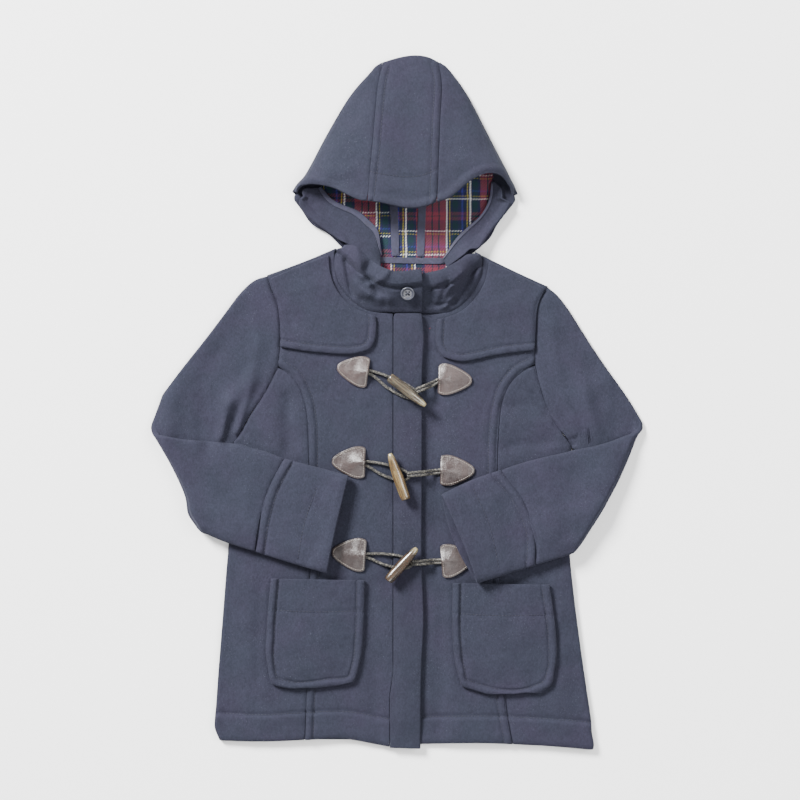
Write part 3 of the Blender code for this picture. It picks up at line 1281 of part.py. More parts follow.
def button():
    """Neck button with a raised rim and four holes, sewn on the chin's tab."""
    lean = math.radians(BUTTON_LEAN)
    normal = np.array([0, -math.sin(lean), math.cos(lean)])
    seat = np.array([BUTTON_PLACE[0], BUTTON_PLACE[1], BUTTON_SEAT_Z]) + normal * (HALF + BUTTON_CLEAR)
    made = turned("neck_button", BUTTON_PROFILE, seat, normal, "button", sides=20)
    up_slope = np.array([0, math.cos(lean), math.sin(lean)])
    for k, (a, b) in enumerate([(-1, -1), (-1, 1), (1, -1), (1, 1)]):
        place = seat + np.array([1, 0, 0]) * a * BUTTON_HOLE_PITCH + up_slope * b * BUTTON_HOLE_PITCH
        hole = turned("hole_%d" % k, [(-2, BUTTON_HOLE), (6, BUTTON_HOLE)], place, normal, "button", sides=8)
        hole.hide_render = True
        hole.display_type = "WIRE"
        drilled = made.modifiers.new("hole_%d" % k, "BOOLEAN")
        drilled.operation = "DIFFERENCE"
        drilled.object = hole
    return made


def fasteners():
    """Three toggle fasteners: a loop on the right front, a toggle held by two strands on the left."""
    for number, fastener in FASTENERS.items():
        leather_patch("loop_patch_" + number, fastener["loop_tip"], fastener["loop_base"], "right")
        leather_patch("toggle_patch_" + number, fastener["toggle_tip"], fastener["toggle_base"], "left")
        loop_cord("loop_cord_" + number, fastener)
        toggle_cord("toggle_cord_%s_upper" % number, fastener, 1)
        toggle_cord("toggle_cord_%s_lower" % number, fastener, -1)
        toggle("toggle_" + number, fastener)


# ---------------------------------------------------------------- assembly

def clear_scene():
    for old in list(bpy.data.objects):
        bpy.data.objects.remove(old, do_unlink=True)


def build():
    clear_scene()
    back()
    for side in ("right", "left"):
        front_centre(side)
        front_side(side)
        yoke(side)
        pocket(side)
        sleeve(side)
        cuff(side)
        hood_side(side)
        neck_band(side)
        facing(side)
        facing_tape(side)
    placket()
    hood_centre()
    flat_tape("neck_tape", NECK_TAPE, NECK_TAPE_WIDTH, TAPE_Z, 6)
    for side, line in SEAM_TAPES.items():
        flat_tape("gusset_tape_" + side, line, TAPE_WIDTH, TAPE_Z, 5)
    button()
    fasteners()


build()
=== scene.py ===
"""Looks of a child's duffle coat: heathered wool, tartan reverse, tapes, leather, braided cord, horn and a button.

Each cloth piece is a finer, softer copy of its solid: edges are rounded, folds and stitched grooves are raised
on it by height fields, and stitches lie on top. Tables are in millimetres, the meshes in metres.
+X is the wearer's left, +Y is towards the hood and +Z is up from the floor.
"""
import math

import bmesh
import bpy
import numpy as np
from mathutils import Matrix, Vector
from mathutils.bvhtree import BVHTree

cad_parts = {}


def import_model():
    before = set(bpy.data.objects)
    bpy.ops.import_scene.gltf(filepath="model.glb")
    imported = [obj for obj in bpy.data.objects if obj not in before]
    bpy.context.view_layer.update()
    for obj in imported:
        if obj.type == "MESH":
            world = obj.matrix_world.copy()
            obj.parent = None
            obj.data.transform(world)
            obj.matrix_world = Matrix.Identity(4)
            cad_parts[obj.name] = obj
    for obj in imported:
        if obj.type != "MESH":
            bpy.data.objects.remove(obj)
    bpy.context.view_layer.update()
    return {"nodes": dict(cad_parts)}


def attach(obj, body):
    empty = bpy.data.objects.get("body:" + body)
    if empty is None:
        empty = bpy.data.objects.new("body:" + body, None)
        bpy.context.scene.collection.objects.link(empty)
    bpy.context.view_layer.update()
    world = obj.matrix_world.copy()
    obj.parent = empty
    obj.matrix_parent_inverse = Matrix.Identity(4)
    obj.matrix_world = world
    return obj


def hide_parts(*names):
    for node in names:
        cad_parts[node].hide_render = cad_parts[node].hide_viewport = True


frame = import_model()

MM = 0.001
SIDES = ("right", "left")

# ---------------------------------------------------------------- lines of seams and stitches, in mm
PRINCESS = {
    "right": [(-107, -390), (-105, -334), (-101, -195), (-102, -65), (-103, -26), (-108, 2), (-121, 28),
              (-139, 40)],
    "left": [(132, -395), (122, -337), (117, -190), (113, -78), (114, -37), (118, -6), (125, 15), (139, 32),
             (158, 42)],
}
HEM = {
    "right": [(-203, -391), (-154, -392), (-108, -390), (-58, -389), (-31, -394), (-9, -398)],
    "left": [(28, -395), (111, -394), (132, -395), (173, -397), (220, -401)],
}
YOKE_EDGE = {
    "right": [(-135.5, 62), (-104, 57), (-72, 54), (-50, 54), (-34, 58.5), (-27, 67), (-25, 80), (-25, 98)],
    "left": [(157, 58), (120, 54), (92, 48), (72, 45), (53, 50), (45, 60), (43.5, 76), (45, 94)],
}
POCKET_EDGE = {
    "right": [(-146, -204), (-151, -266), (-151, -303), (-142, -322), (-126, -334), (-80, -332), (-52, -321),
              (-43, -303), (-40, -275), (-38, -206)],
    "left": [(63, -209), (63, -275), (67, -308), (74, -324), (88, -335), (157, -337), (172, -325), (181, -309),
             (182, -275), (174, -211)],
}
POCKET_HEM = {"right": [(-147, -240), (-92, -242), (-39, -241)], "left": [(63, -244), (118, -246), (178, -245)]}
WELT = {"right": [(-131, -67), (-146, -95), (-158, -133), (-164, -172)],
        "left": [(118, -80), (139, -112), (155, -155), (156, -188)]}
CUFF_HEM = {"right": [(-93, -99), (-107, -139), (-115, -182)], "left": [(86, -100), (104, -141), (116, -194)]}
HOOD_SEAM = {
    "right": [(-18, 386), (-21, 376), (-26, 333), (-30, 284), (-35, 241), (-36, 232)],
    "left": [(47, 386), (49, 377), (48, 321), (46, 270), (45, 239), (44, 226)],
}
HOOD_STITCH = [(-46, 266), (-30, 261), (-8, 257), (13, 255.5), (30, 258), (46, 265)]
FOREHEAD = [(-116, 241), (-110, 247), (-88, 247), (-51, 237), (-36, 232), (-17, 227), (6, 223), (25, 221),
            (44, 226), (57, 230), (76, 246), (98, 260), (112, 261), (124, 253), (130, 240)]
FACE_RIM = {
    "right": [(-113, 239), (-115.2, 234.5), (-114.5, 228), (-107.5, 216), (-92, 202), (-76, 190.5), (-67, 183),
              (-64, 174)],
    "left": [(129, 238), (131, 233.5), (129.5, 226), (122, 213.5), (109, 197.5), (99.5, 184), (92.5, 173.5),
             (84, 167)],
}
NECK_RIM = {
    "right": [(-65, 183), (-59, 177), (-51, 169), (-37, 156), (-27, 149), (-17, 144), (-3, 140), (12, 141),
              (28, 143)],
    "left": [(-4, 137), (14, 137), (32, 138.5), (43, 140.5), (55, 144), (68, 151), (81, 160), (89, 168), (91, 175)],
}
NECK_SEAM = {
    "right": [(-71.5, 176), (-73.3, 166), (-74, 157), (-70, 138), (-61, 124), (-49, 112), (-34, 104), (-9, 102),
              (28, 101.6)],
    "left": [(-8, 101.2), (28, 101.2), (46, 100.8), (54, 101), (70, 108), (84, 121), (94, 137), (98, 152),
             (97, 162), (95.3, 169)],
}
REVERSE_SHOWN = [
    # the inner edges of the hood's facings, between which the reverse shows
    (-88, 300), (-88, 247), (-76, 232), (-60, 223), (-41, 211), (-27, 197), (-22, 190), (-22, 140), (55, 140),
    (57, 171), (67, 187), (81, 199), (95, 211), (107, 230), (109, 254), (109, 300),
]
ARMHOLE = {
    "right": [(-184, -41), (-175, -24), (-150, 15), (-139, 40), (-136, 61), (-139, 112), (-146, 128), (-151, 145)],
    "left": [(200, -52), (192, -42), (172, -11), (165, 9), (158, 42), (157.5, 58), (158, 84), (160, 112), (165, 122),
             (173, 132)],
}
CHUNK = 20000               # points that are measured at a time, to save memory


def smooth(points, steps=14):
    """Dense points on a smooth curve through the given points."""
    p = np.array(points, float)
    if len(p) == 2:
        t = np.linspace(0, 1, steps + 1)[:, None]
        return p[0] * (1 - t) + p[1] * t
    gap = np.linalg.norm(np.diff(p, axis=0), axis=1)
    slope = np.diff(p, axis=0) / gap[:, None]
    tangent = np.empty_like(p)
    tangent[0], tangent[-1] = slope[0], slope[-1]
    weight = gap[:-1] / (gap[:-1] + gap[1:])
    tangent[1:-1] = slope[:-1] * (1 - weight[:, None]) + slope[1:] * weight[:, None]
    t = np.linspace(0, 1, steps, endpoint=False)[:, None]
    spans = []
    for k in range(len(gap)):
        a, b, ta, tb = p[k], p[k + 1], tangent[k] * gap[k], tangent[k + 1] * gap[k]
        spans.append(a * (2 * t**3 - 3 * t**2 + 1) + ta * (t**3 - 2 * t**2 + t)
                     + b * (3 * t**2 - 2 * t**3) + tb * (t**3 - t**2))
    return np.vstack(spans + [p[-1:]])


def lengths(curve):
    return np.concatenate([[0], np.cumsum(np.linalg.norm(np.diff(curve, axis=0), axis=1))])


def at(curve, stops):
    """Points of a curve at the given distances along it."""
    run = lengths(curve)
    return np.stack([np.interp(stops, run, curve[:, k]) for k in range(curve.shape[1])], axis=1)


def unit(vectors):
    return vectors / np.linalg.norm(vectors, axis=1)[:, None]


def left_of(along):
    """Unit vectors that point to the left of the given directions in plan."""
    along = unit(along)
    return np.stack([-along[:, 1], along[:, 0]], axis=1)


def middle_x(curve):
    return float(np.mean([x for x, y in curve]))


def beside(points, gap, towards):
    """A dense curve moved sideways by the gap, towards the side on which the given point lies."""
    curve = smooth(points)
    across, half = left_of(np.gradient(curve, axis=0)), len(curve) // 2
    side = np.sign(across[half] @ (np.array(towards) - curve[half]))
    return curve + across * side * gap


def nearest_on(x, y, dense):
    """Distance to a dense curve, its nearest point and that point's distance along it."""
    index, gap = np.empty(len(x), int), np.empty(len(x))
    for start in range(0, len(x), CHUNK):
        part = slice(start, start + CHUNK)
        away = np.hypot(x[part, None] - dense[:, 0], y[part, None] - dense[:, 1])
        index[part] = away.argmin(axis=1)
        gap[part] = np.take_along_axis(away, index[part, None], axis=1)[:, 0]
    return gap, dense[index], lengths(dense)[index]


def distance_to(x, y, dense):
    return nearest_on(x, y, dense)[0]


def ease(t):
    t = np.clip(t, 0, 1)
    return t * t * (3 - 2 * t)


def bump(distance, width):
    return np.exp(-(distance / width) ** 2)


def ripple(x, y, scale, seed, waves=9):
    """Smooth pseudo-random height, about -1 to 1, with features of about the scale."""
    random = np.random.default_rng(seed)
    total = np.zeros_like(x)
    for _ in range(waves):
        angle, phase, stretch = random.uniform(0, math.tau, 2).tolist() + [random.uniform(0.7, 1.5)]
        run = (x * math.cos(angle) + y * math.sin(angle)) * math.tau / (scale * stretch)
        total += np.sin(run + phase)
    return total / math.sqrt(waves * 2)


def fold_field(x, y, folds):
    """Sum of soft folds, each a line that fades at its ends; negative heights are hollows."""
    total = np.zeros_like(x)
    for x0, y0, x1, y1, width, height in folds:
        run = math.hypot(x1 - x0, y1 - y0)
        ux, uy = (x1 - x0) / run, (y1 - y0) / run
        along = (x - x0) * ux + (y - y0) * uy
        across = (x - x0) * uy - (y - y0) * ux
        past = np.maximum(np.maximum(-along, along - run), 0)
        total += height * bump(across, width) * bump(past, width * 1.4)
    return total


# ---------------------------------------------------------------- materials

EXPOSURE = 0.65             # share of a tone's light that its surface gives back under the studio's bright lights


def srgb(r, g, b):
    tones = [((c / 255 + 0.055) / 1.055) ** 2.4 if c > 10 else c / 255 / 12.92 for c in (r, g, b)]
    return tuple(EXPOSURE * tone for tone in tones) + (1.0,)


class Finish:
    """A node material, built up step by step."""

    def __init__(self, name):
        self.material = bpy.data.materials.new(name)
        self.material.use_nodes = True
        self.tree = self.material.node_tree
        self.shader = self.tree.nodes["Principled BSDF"]
        self.place = self.tree.nodes.new("ShaderNodeTexCoord").outputs["Object"]

    def node(self, kind, inputs=(), **settings):
        made = self.tree.nodes.new("ShaderNode" + kind)
        for key, value in settings.items():
            setattr(made, key, value)
        for key, value in dict(inputs).items():
            self.feed(made.inputs[key], value)
        return made

    def feed(self, socket, value):
        if isinstance(value, bpy.types.NodeSocket):
            self.tree.links.new(value, socket)
        else:
            socket.default_value = value

    def set(self, **values):
        for key, value in values.items():
            self.feed(self.shader.inputs[key.replace("_", " ")], value)

    def maths(self, operation, a, b=0.0, c=0.0):
        return self.node("Math", {0: a, 1: b, 2: c}, operation=operation).outputs[0]

    def noise(self, scale, detail=3.0, roughness=0.6, place=None, distortion=0.0):
        return self.node("TexNoise", {"Vector": place or self.place, "Scale": scale, "Detail": detail,
                                      "Roughness": roughness, "Distortion": distortion}).outputs["Fac"]

    def cloud(self, scale, detail, roughness, *stops):
        """Noise laid out between tones."""
        return self.ramp(self.noise(scale, detail, roughness), stops)

    def stretched(self, scale, turn=(0, 0, 0)):
        return self.node("Mapping", {"Vector": self.place, "Scale": scale, "Rotation": turn}).outputs[0]

    def ramp(self, value, stops, interpolation="LINEAR"):
        made = self.node("ValToRGB", {"Fac": value})
        made.color_ramp.interpolation = interpolation
        points = made.color_ramp.elements
        while len(points) < len(stops):
            points.new(0.5)
        for point, (place, colour) in zip(points, stops):
            point.position = place
            point.color = colour if isinstance(colour, tuple) else (colour, colour, colour, 1)
        return made.outputs["Color"]

    def mix(self, share, a, b, blend="MIX"):
        made = self.node("Mix", {0: share}, data_type="RGBA", blend_type=blend)
        self.feed(made.inputs[6], a)
        self.feed(made.inputs[7], b)
        return made.outputs[2]

    def bump(self, height, strength, distance, before=None):
        made = self.node("Bump", {"Height": height, "Strength": strength, "Distance": distance})
        if before is not None:
            self.feed(made.inputs["Normal"], before)
        return made.outputs[0]


def wool_finish(name, base=(46, 47, 60), shade=1.0, turn=0.4):
    """Brushed, heathered coating wool with pale flecks; the shade scales its colour, for painted light and painted
    shade on some pieces.
    """
    f = Finish(name)
    dark = srgb(*(c * 0.80 for c in base))
    light = srgb(*(c * 1.17 for c in base))
    plum = srgb(base[0] * 1.10, base[1] * 0.98, base[2] * 1.05)
    cool = srgb(base[0] * 0.94, base[1] * 1.02, base[2] * 0.98)
    broad = f.cloud(16, 3, 0.6, (0.36, cool), (0.52, srgb(*base)), (0.68, plum))
    fibres = f.noise(520, 4, 0.8, f.stretched((1.0, 0.62, 1.0), (0, 0, turn)), 0.3)
    heather = f.mix(f.ramp(fibres, [(0.33, 0.0), (0.67, 1.0)]), dark, light)
    colour = f.mix(0.6, broad, heather)
    worn = f.cloud(55, 3, 0.65, (0.3, 0.93), (0.7, 1.07))
    colour = f.mix(1.0, colour, worn, "MULTIPLY")
    grain = f.cloud(1500, 2, 0.7, (0.3, 0.88), (0.7, 1.10))
    colour = f.mix(1.0, colour, grain, "MULTIPLY")
    fleck = f.maths("MULTIPLY", f.ramp(f.noise(1250, 1.5, 0.5, distortion=0.3), [(0.70, 0.0), (0.74, 1.0)]),
                    f.cloud(24, 3, 0.6, (0.46, 0.0), (0.62, 1.0)))
    colour = f.mix(f.maths("MULTIPLY", fleck, 0.6), colour, srgb(118, 122, 138))
    # the shade makes this copy lighter or darker: painted light above 1, painted shade below 1
    colour = f.mix(1.0, colour, (shade, shade, shade, 1), "MULTIPLY")
    nap = f.bump(f.noise(900, 4, 0.8, f.stretched((1.0, 0.6, 1.0), (0, 0, turn + 0.5))), 0.6, 0.0006)
    nap = f.bump(f.noise(170, 3, 0.6), 0.4, 0.0010, nap)
    f.set(Base_Color=colour, Roughness=0.95, Specular_IOR_Level=0.12, Sheen_Weight=0.12, Sheen_Roughness=0.45,
          Sheen_Tint=srgb(150, 155, 180), Normal=nap)
    return f.material


WHITE, NAVY, GREEN = (206, 206, 206), (36, 38, 68), (26, 50, 56)
RED, BLUE, YELLOW = (122, 54, 68), (48, 52, 128), (150, 140, 50)
WARP = [
    # width in mm, colour
    (1.8, WHITE), (1.5, NAVY), (6.0, GREEN), (3.0, NAVY), (8.0, RED), (1.5, GREEN), (6.0, RED), (1.5, GREEN),
    (7.5, RED), (1.8, WHITE), (2.0, NAVY), (1.4, YELLOW), (3.0, NAVY), (6.0, GREEN), (4.0, NAVY), (2.0, BLUE),
    (4.0, NAVY), (1.4, YELLOW), (1.6, NAVY),
]
WEFT = [
    (1.8, WHITE), (2.0, NAVY), (7.0, GREEN), (5.0, NAVY), (4.0, RED), (1.5, GREEN), (4.0, RED), (4.0, NAVY),
    (5.0, GREEN), (2.5, NAVY), (1.8, WHITE), (2.0, NAVY), (1.4, YELLOW), (3.0, NAVY), (6.0, GREEN), (4.0, NAVY),
    (2.0, BLUE), (4.0, NAVY), (1.4, YELLOW), (1.6, NAVY),
]
TARTAN_REPEAT = sum(width for width, colour in WARP)
TWILL = 3.2                 # mm between the diagonals of the weave


def tartan_finish(name, warp, weft):
    """Woven reverse of the double cloth: a run of stripes in warp and in weft, crossed in a twill."""
    f = Finish(name)
    place = f.node("Mapping", {"Vector": f.place, "Scale": (1, -1, 1),
                               "Location": (warp * MM, weft * MM, 0)}).outputs[0]
    wobble = f.node("TexNoise", {"Vector": f.place, "Scale": 70.0, "Detail": 2.0}).outputs["Color"]
    wobble = f.node("VectorMath", {0: wobble, 1: (0.0018, 0.0018, 0.0)}, operation="MULTIPLY").outputs[0]
    place = f.node("VectorMath", {0: place, 1: wobble}, operation="ADD").outputs[0]
    apart = f.node("SeparateXYZ", {0: place})
    threads = []
    for axis, stripes in ((0, WARP), (1, WEFT)):
        stops, start = [], 0.0
        for width, colour in stripes:
            stops.append((start / TARTAN_REPEAT, srgb(*colour)))
            start += width
        share = f.maths("FRACT", f.maths("MULTIPLY", apart.outputs[axis], 1 / (TARTAN_REPEAT * MM)))
        threads.append(f.ramp(share, stops, "CONSTANT"))
    diagonal = f.maths("ADD", apart.outputs[0], apart.outputs[1])
    twill = f.maths("FRACT", f.maths("MULTIPLY", diagonal, 1 / (TWILL * MM)))
    over = f.ramp(twill, [(0.62, 0.0), (0.70, 1.0)])
    colour = f.mix(over, threads[0], threads[1])
    colour = f.mix(f.cloud(700, 3, 0.7, (0.35, 0.0), (0.75, 0.35)), colour, srgb(34, 33, 46))
    height = f.maths("ABSOLUTE", f.maths("SUBTRACT", twill, 0.5))
    woven = f.bump(height, 0.6, 0.0005)
    woven = f.bump(f.noise(1100, 3, 0.7), 0.5, 0.0004, woven)
    f.set(Base_Color=colour, Roughness=0.95, Specular_IOR_Level=0.12, Sheen_Weight=0.1, Sheen_Roughness=0.5,
          Normal=woven)
    return f.material


def tape_finish(name, along=0.0):
    """Ribbed purple-grey binding tape."""
    f = Finish(name)
    place = f.stretched((1, 1, 1), (0, 0, along))
    apart = f.node("SeparateXYZ", {0: place})
    rib = f.maths("SINE", f.maths("MULTIPLY", apart.outputs[1], math.tau / 0.0008))
    colour = f.mix(f.cloud(240, 3, 0.6, (0.3, 0.0), (0.7, 1.0)), srgb(35, 35, 55), srgb(49, 49, 75))
    ribbed = f.bump(rib, 0.2, 0.0002)
    ribbed = f.bump(f.noise(900, 2, 0.6), 0.3, 0.0003, ribbed)
    f.set(Base_Color=colour, Roughness=0.62, Specular_IOR_Level=0.35, Sheen_Weight=0.15, Normal=ribbed)
    return f.material


def leather_finish(name, tone=1.0):
    """Polished taupe leather with a fine grain, darker along creases."""
    f = Finish(name)
    # the tone makes the leather lighter or darker; on the patches it paints light and shade
    broad = f.cloud(60, 3, 0.6, (0.3, srgb(68 * tone, 55 * tone, 53 * tone)),
                    (0.7, srgb(103 * tone, 87 * tone, 84 * tone)))
    cells = f.node("TexVoronoi", {"Vector": f.place, "Scale": 1150.0}, feature="DISTANCE_TO_EDGE")
    grain = f.ramp(cells.outputs["Distance"], [(0.0, 0.0), (0.22, 1.0)])
    colour = f.mix(grain, srgb(58 * tone, 49 * tone, 49 * tone), broad)
    skin = f.bump(grain, 0.25, 0.0003)
    skin = f.bump(f.noise(120, 3, 0.55, distortion=0.8), 0.45, 0.0016, skin)
    f.set(Base_Color=colour, Roughness=0.36, Specular_IOR_Level=0.5, Coat_Weight=0.2, Coat_Roughness=0.3,
          Normal=skin)
    return f.material


def plain_finish(name, colour, roughness, scale=300, change=0.25, height=0.0003, specular=0.4):
    """One colour with some variation and a little texture."""
    f = Finish(name)
    low = srgb(*(c * (1 - change) for c in colour))
    high = srgb(*(min(255, c * (1 + change)) for c in colour))
    tone = f.mix(f.cloud(scale, 3, 0.6, (0.3, 0.0), (0.7, 1.0)), low, high)
    f.set(Base_Color=tone, Roughness=roughness, Specular_IOR_Level=specular,
          Normal=f.bump(f.noise(scale * 3, 2, 0.6), 0.4, height))
    return f.material


def horn_finish(name, pale, mid, dark, axis_turn, pale_end):
    """Imitation horn, streaked along the toggle, with a paler end."""
    f = Finish(name)
    place = f.node("Mapping", {"Vector": f.place, "Rotation": (0, 0, axis_turn)}).outputs[0]
    streaks = f.node("Mapping", {"Vector": place, "Scale": (0.10, 1.0, 1.0)}).outputs[0]
    tone = f.noise(430, 4, 0.62, streaks, 0.5)
    colour = f.ramp(tone, [(0.30, srgb(*dark)), (0.47, srgb(*mid)), (0.66, srgb(*pale))])
    apart = f.node("SeparateXYZ", {0: place})
    end = f.ramp(f.maths("MULTIPLY_ADD", apart.outputs[0], pale_end[0], pale_end[1]), [(0.35, 0.0), (0.9, 1.0)])
    colour = f.mix(f.maths("MULTIPLY", end, 0.8), colour, srgb(168, 156, 118))
    f.set(Base_Color=colour, Roughness=0.24, Specular_IOR_Level=0.6, Coat_Weight=0.5, Coat_Roughness=0.12,
          Subsurface_Weight=0.06, Subsurface_Scale=0.002, Normal=f.bump(tone, 0.08, 0.00015))
    return f.material


# ---------------------------------------------------------------- finer copies of the solids

ROUNDED = 0.95              # mm by which a cloth edge is rounded
WELD = 0.6                  # mm: points of a solid closer than this are joined in its finer copy
JOINED = math.radians(50)   # between triangles that may make one quad
SHARP = math.radians(48)    # past which an edge is rounded
INFLATE = 0.12              # mm by which cloth swells, so that its edges nearly meet in the seams
SOFT_CORNERS = [(-203, -391), (220, -401), (-9, -398), (24, -400),    # corners of hems that are turned soft
                (134.9, 238), (-118.9, 241)]                          # and the hood's lower corners
SOFT_CORNER_REACH = 9.0


def is_plan_corner(edge):
    """True for the short upright edge of a panel's corner, which keeps its place in the seam."""
    a, b = (v.co for v in edge.verts)
    upright = abs((a - b).normalized().z) > 0.8 and (a - b).length < 4.5
    soft = any(math.hypot(a.x - x, a.y - y) < SOFT_CORNER_REACH for x, y in SOFT_CORNERS)
    return upright and not soft


def placed(name, data):
    """A new object in the scene."""
    made = bpy.data.objects.new(name, data)
    bpy.context.scene.collection.objects.link(made)
    return made


def new_piece(name, vertices, faces):
    data = bpy.data.meshes.new(name)
    data.from_pydata([tuple(v) for v in vertices], [], faces)
    return placed(name, data)


def settle(made):
    """Makes what the modifiers give the object's own mesh."""
    bpy.context.view_layer.update()
    result = bpy.data.meshes.new_from_object(made.evaluated_get(bpy.context.evaluated_depsgraph_get()))
    made.modifiers.clear()
    before, made.data = made.data, result
    bpy.data.meshes.remove(before)


def base_mesh(node, weld, rounded):
    """The node's mesh in mm, its triangles joined to quads and its sharp edges rounded."""
    mesh = bmesh.new()
    mesh.from_mesh(frame["nodes"][node].data)
    for vertex in mesh.verts:
        vertex.co = vertex.co / MM
    bmesh.ops.remove_doubles(mesh, verts=mesh.verts, dist=weld)
    bmesh.ops.recalc_face_normals(mesh, faces=mesh.faces)
    bmesh.ops.join_triangles(mesh, faces=mesh.faces, angle_face_threshold=JOINED, angle_shape_threshold=math.pi)
    crease = mesh.edges.layers.float.new("crease_edge")
    sharp = [e for e in mesh.edges if len(e.link_faces) == 2 and e.calc_face_angle(0) > SHARP]
    for edge in filter(is_plan_corner, sharp):
        edge[crease] = 1.0
    bmesh.ops.bevel(mesh, geom=[e for e in sharp if not is_plan_corner(e)], offset=rounded,
                    offset_type="OFFSET", segments=2, profile=0.5, affect="EDGES", clamp_overlap=False)
    return mesh


def finer(node, name, level, weld=WELD, rounded=ROUNDED):
    """A subdivided copy of the node as an object whose mesh is in mm."""
    mesh = base_mesh(node, weld, rounded)
    data = bpy.data.meshes.new(name)
    mesh.to_mesh(data)
    mesh.free()
    made = placed(name, data)
    softened = made.modifiers.new("softened", "SUBSURF")
    softened.levels = softened.render_levels = level
    softened.boundary_smooth = "ALL"
    settle(made)
    return made


def read(items, what):
    """One vector for each vertex or face."""
    found = np.empty(len(items) * 3)
    items.foreach_get(what, found)
    return found.reshape(-1, 3)


def points_of(made):
    return read(made.data.vertices, "co")


def normals_of(made):
    return read(made.data.vertex_normals, "vector")


def set_points(made, points):
    made.data.vertices.foreach_set("co", np.asarray(points, float).reshape(-1))
    made.data.update()


DENSE = 20000               # triangles past which a mesh is made lighter
KEPT = 0.40                 # share of a dense mesh's triangles that stays


def lightened(made):
    """Joins the triangles of a dense mesh where it is nearly flat."""
    if sum(len(face.vertices) - 2 for face in made.data.polygons) >= DENSE:
        made.modifiers.new("fewer", "DECIMATE").ratio = KEPT
        settle(made)


def finish_mesh(made, slot, *materials, angle=60):
    """Scales the mesh to metres, smooths it, and hands it to the coat's body."""
    lightened(made)
    set_points(made, points_of(made) * MM)
    made.data.materials.clear()
    for material in materials:
        made.data.materials.append(material)
    made.data.shade_smooth()
    made.data.set_sharp_from_angle(angle=math.radians(angle))
    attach(made, "root")


def inside(x, y, outline):
    """True for points inside a closed outline in plan."""
    found = np.zeros(len(x), bool)
    for (x0, y0), (x1, y1) in zip(outline, outline[1:] + outline[:1]):
        crosses = (y0 > y) != (y1 > y)
        with np.errstate(divide="ignore", invalid="ignore"):
            found ^= crosses & (x < (x1 - x0) * (y - y0) / (y1 - y0) + x0)
    return found


# Height fields of the whole front, so that layers that lie on each other move together.
DRAPE_FOLDS = [
    # x0, y0, x1, y1, width, height
    (-175, -215, -160, -360, 18, 1.3), (-22, 60, -27, -60, 10, -0.8), (34, 128, 36, 84, 7, -1.8),
    (39, 80, 46, -190, 8, -1.3), (-128, 2, -126, -52, 7, -3.0), (-152, -22, -140, -50, 8, 2.0),
    (-172, -24, -160, -46, 5, -1.6), (156, 8, 172, -14, 4.5, -2.2), (165, 14, 182, -8, 5, 1.4),
    (120, -6, 152, -3, 5, -0.9), (118, -54, 172, -47, 7, -1.9), (122, -26, 176, -22, 8, 0.8),
    (-130, 122, -80, 132, 18, 0.9), (150, 108, 105, 128, 18, 0.9), (-60, 30, -52, -60, 14, 0.6),
    (80, 0, 78, -60, 12, 0.7), (52, -225, 48, -380, 10, -1.8), (204, -230, 212, -380, 14, -1.2),
    (190, -215, 188, -350, 10, 0.9), (-195, -215, -200, -380, 14, -1.1), (-30, -210, -24, -390, 9, -1.0),
    (-158, -205, -166, -360, 6, -0.8),
]


def drape(x, y):
    """Slow unevenness of cloth that lies on a surface."""
    return (0.60 * ripple(x, y, 95, 3) + 0.30 * ripple(x, y, 36, 5) + 0.10 * ripple(x, y, 14, 8)
            + fold_field(x, y, DRAPE_FOLDS))


PLACKET_LIFT = 2.4
DRAPE_FROM, DRAPE_FULL = 2.8, 6.0     # heights between which cloth comes to follow the drape


def placket_lift(x, y):
    """The placket stands off the left front that it lies over, and carries the cords with it."""
    ends = ease((y + 396) / 40) * ease((112 - y) / 20)
    return PLACKET_LIFT * ease((x + 9) / 16) * (1 - ease((x - 31) / 8)) * ends


def placket_height(x, y, z, up):
    return placket_lift(x, y)


def draped(x, y, z, up):
    """The drape: none of it at the floor, all of it from the fronts upward."""
    return drape(x, y) * ease((z - DRAPE_FROM) / (DRAPE_FULL - DRAPE_FROM))


GROOVE_WIDTH = 1.7          # of the soft furrow along a row of stitches
VALLEY_WIDTH = 2.3          # of the dip along a seam


def upper(up):
    """1 on what faces up, 0 on walls and undersides."""
    return ease((up - 0.2) / 0.4)


def sewn_edge(curve, stitched=0.0, rise=0.0, groove=0.0, valley=0.0, above=None, dip=VALLEY_WIDTH):
    """Height beside a seam or edge: a dip along it, a puffed strip, and a furrow along the stitches."""
    dense = smooth(curve)

    def height(x, y, z, up):
        gap = distance_to(x, y, dense)
        total = -valley * bump(gap, dip)
        if stitched:
            total += rise * np.sin(math.pi * np.clip(gap / stitched, 0, 1)) ** 0.7
            total -= groove * bump(gap - stitched, GROOVE_WIDTH)
        total *= upper(up)
        return total if above is None else total * ease((z - above) / 2)
    return height


def stitched_line(curve, groove, above=None):
    """A furrow along a row of stitches."""
    return sewn_edge(curve, valley=groove, above=above, dip=GROOVE_WIDTH)


def turned_hem(curve, depth, rise):
    """A hem of double cloth, which stands a little higher than the panel and thins out at its edge."""
    dense = smooth(curve)

    def height(x, y, z, up):
        gap = distance_to(x, y, dense)
        return (rise * ease((depth - gap) / 4) - 1.4 * bump(gap - depth - 0.5, 2.0) - 1.5 * bump(gap, 3.0)) * upper(up)
    return height


def rolled_rim(curve, width, rise, low=-90, high=90):
    """A thick roll along an edge, between the given heights."""
    dense = smooth(curve)

    def height(x, y, z, up):
        across = np.clip((distance_to(x, y, dense) + 2) / (width + 2), 0, 1)
        return (rise * np.sin(math.pi * across) * ease((up + 0.1) / 0.5)
                * ease((z - low) / 2) * ease((high - z) / 1.5))
    return height


ANY = (-10, 90)             # ranges of height in which a pull acts
LOWER, UPPER = (-10, 7), (5, 90)


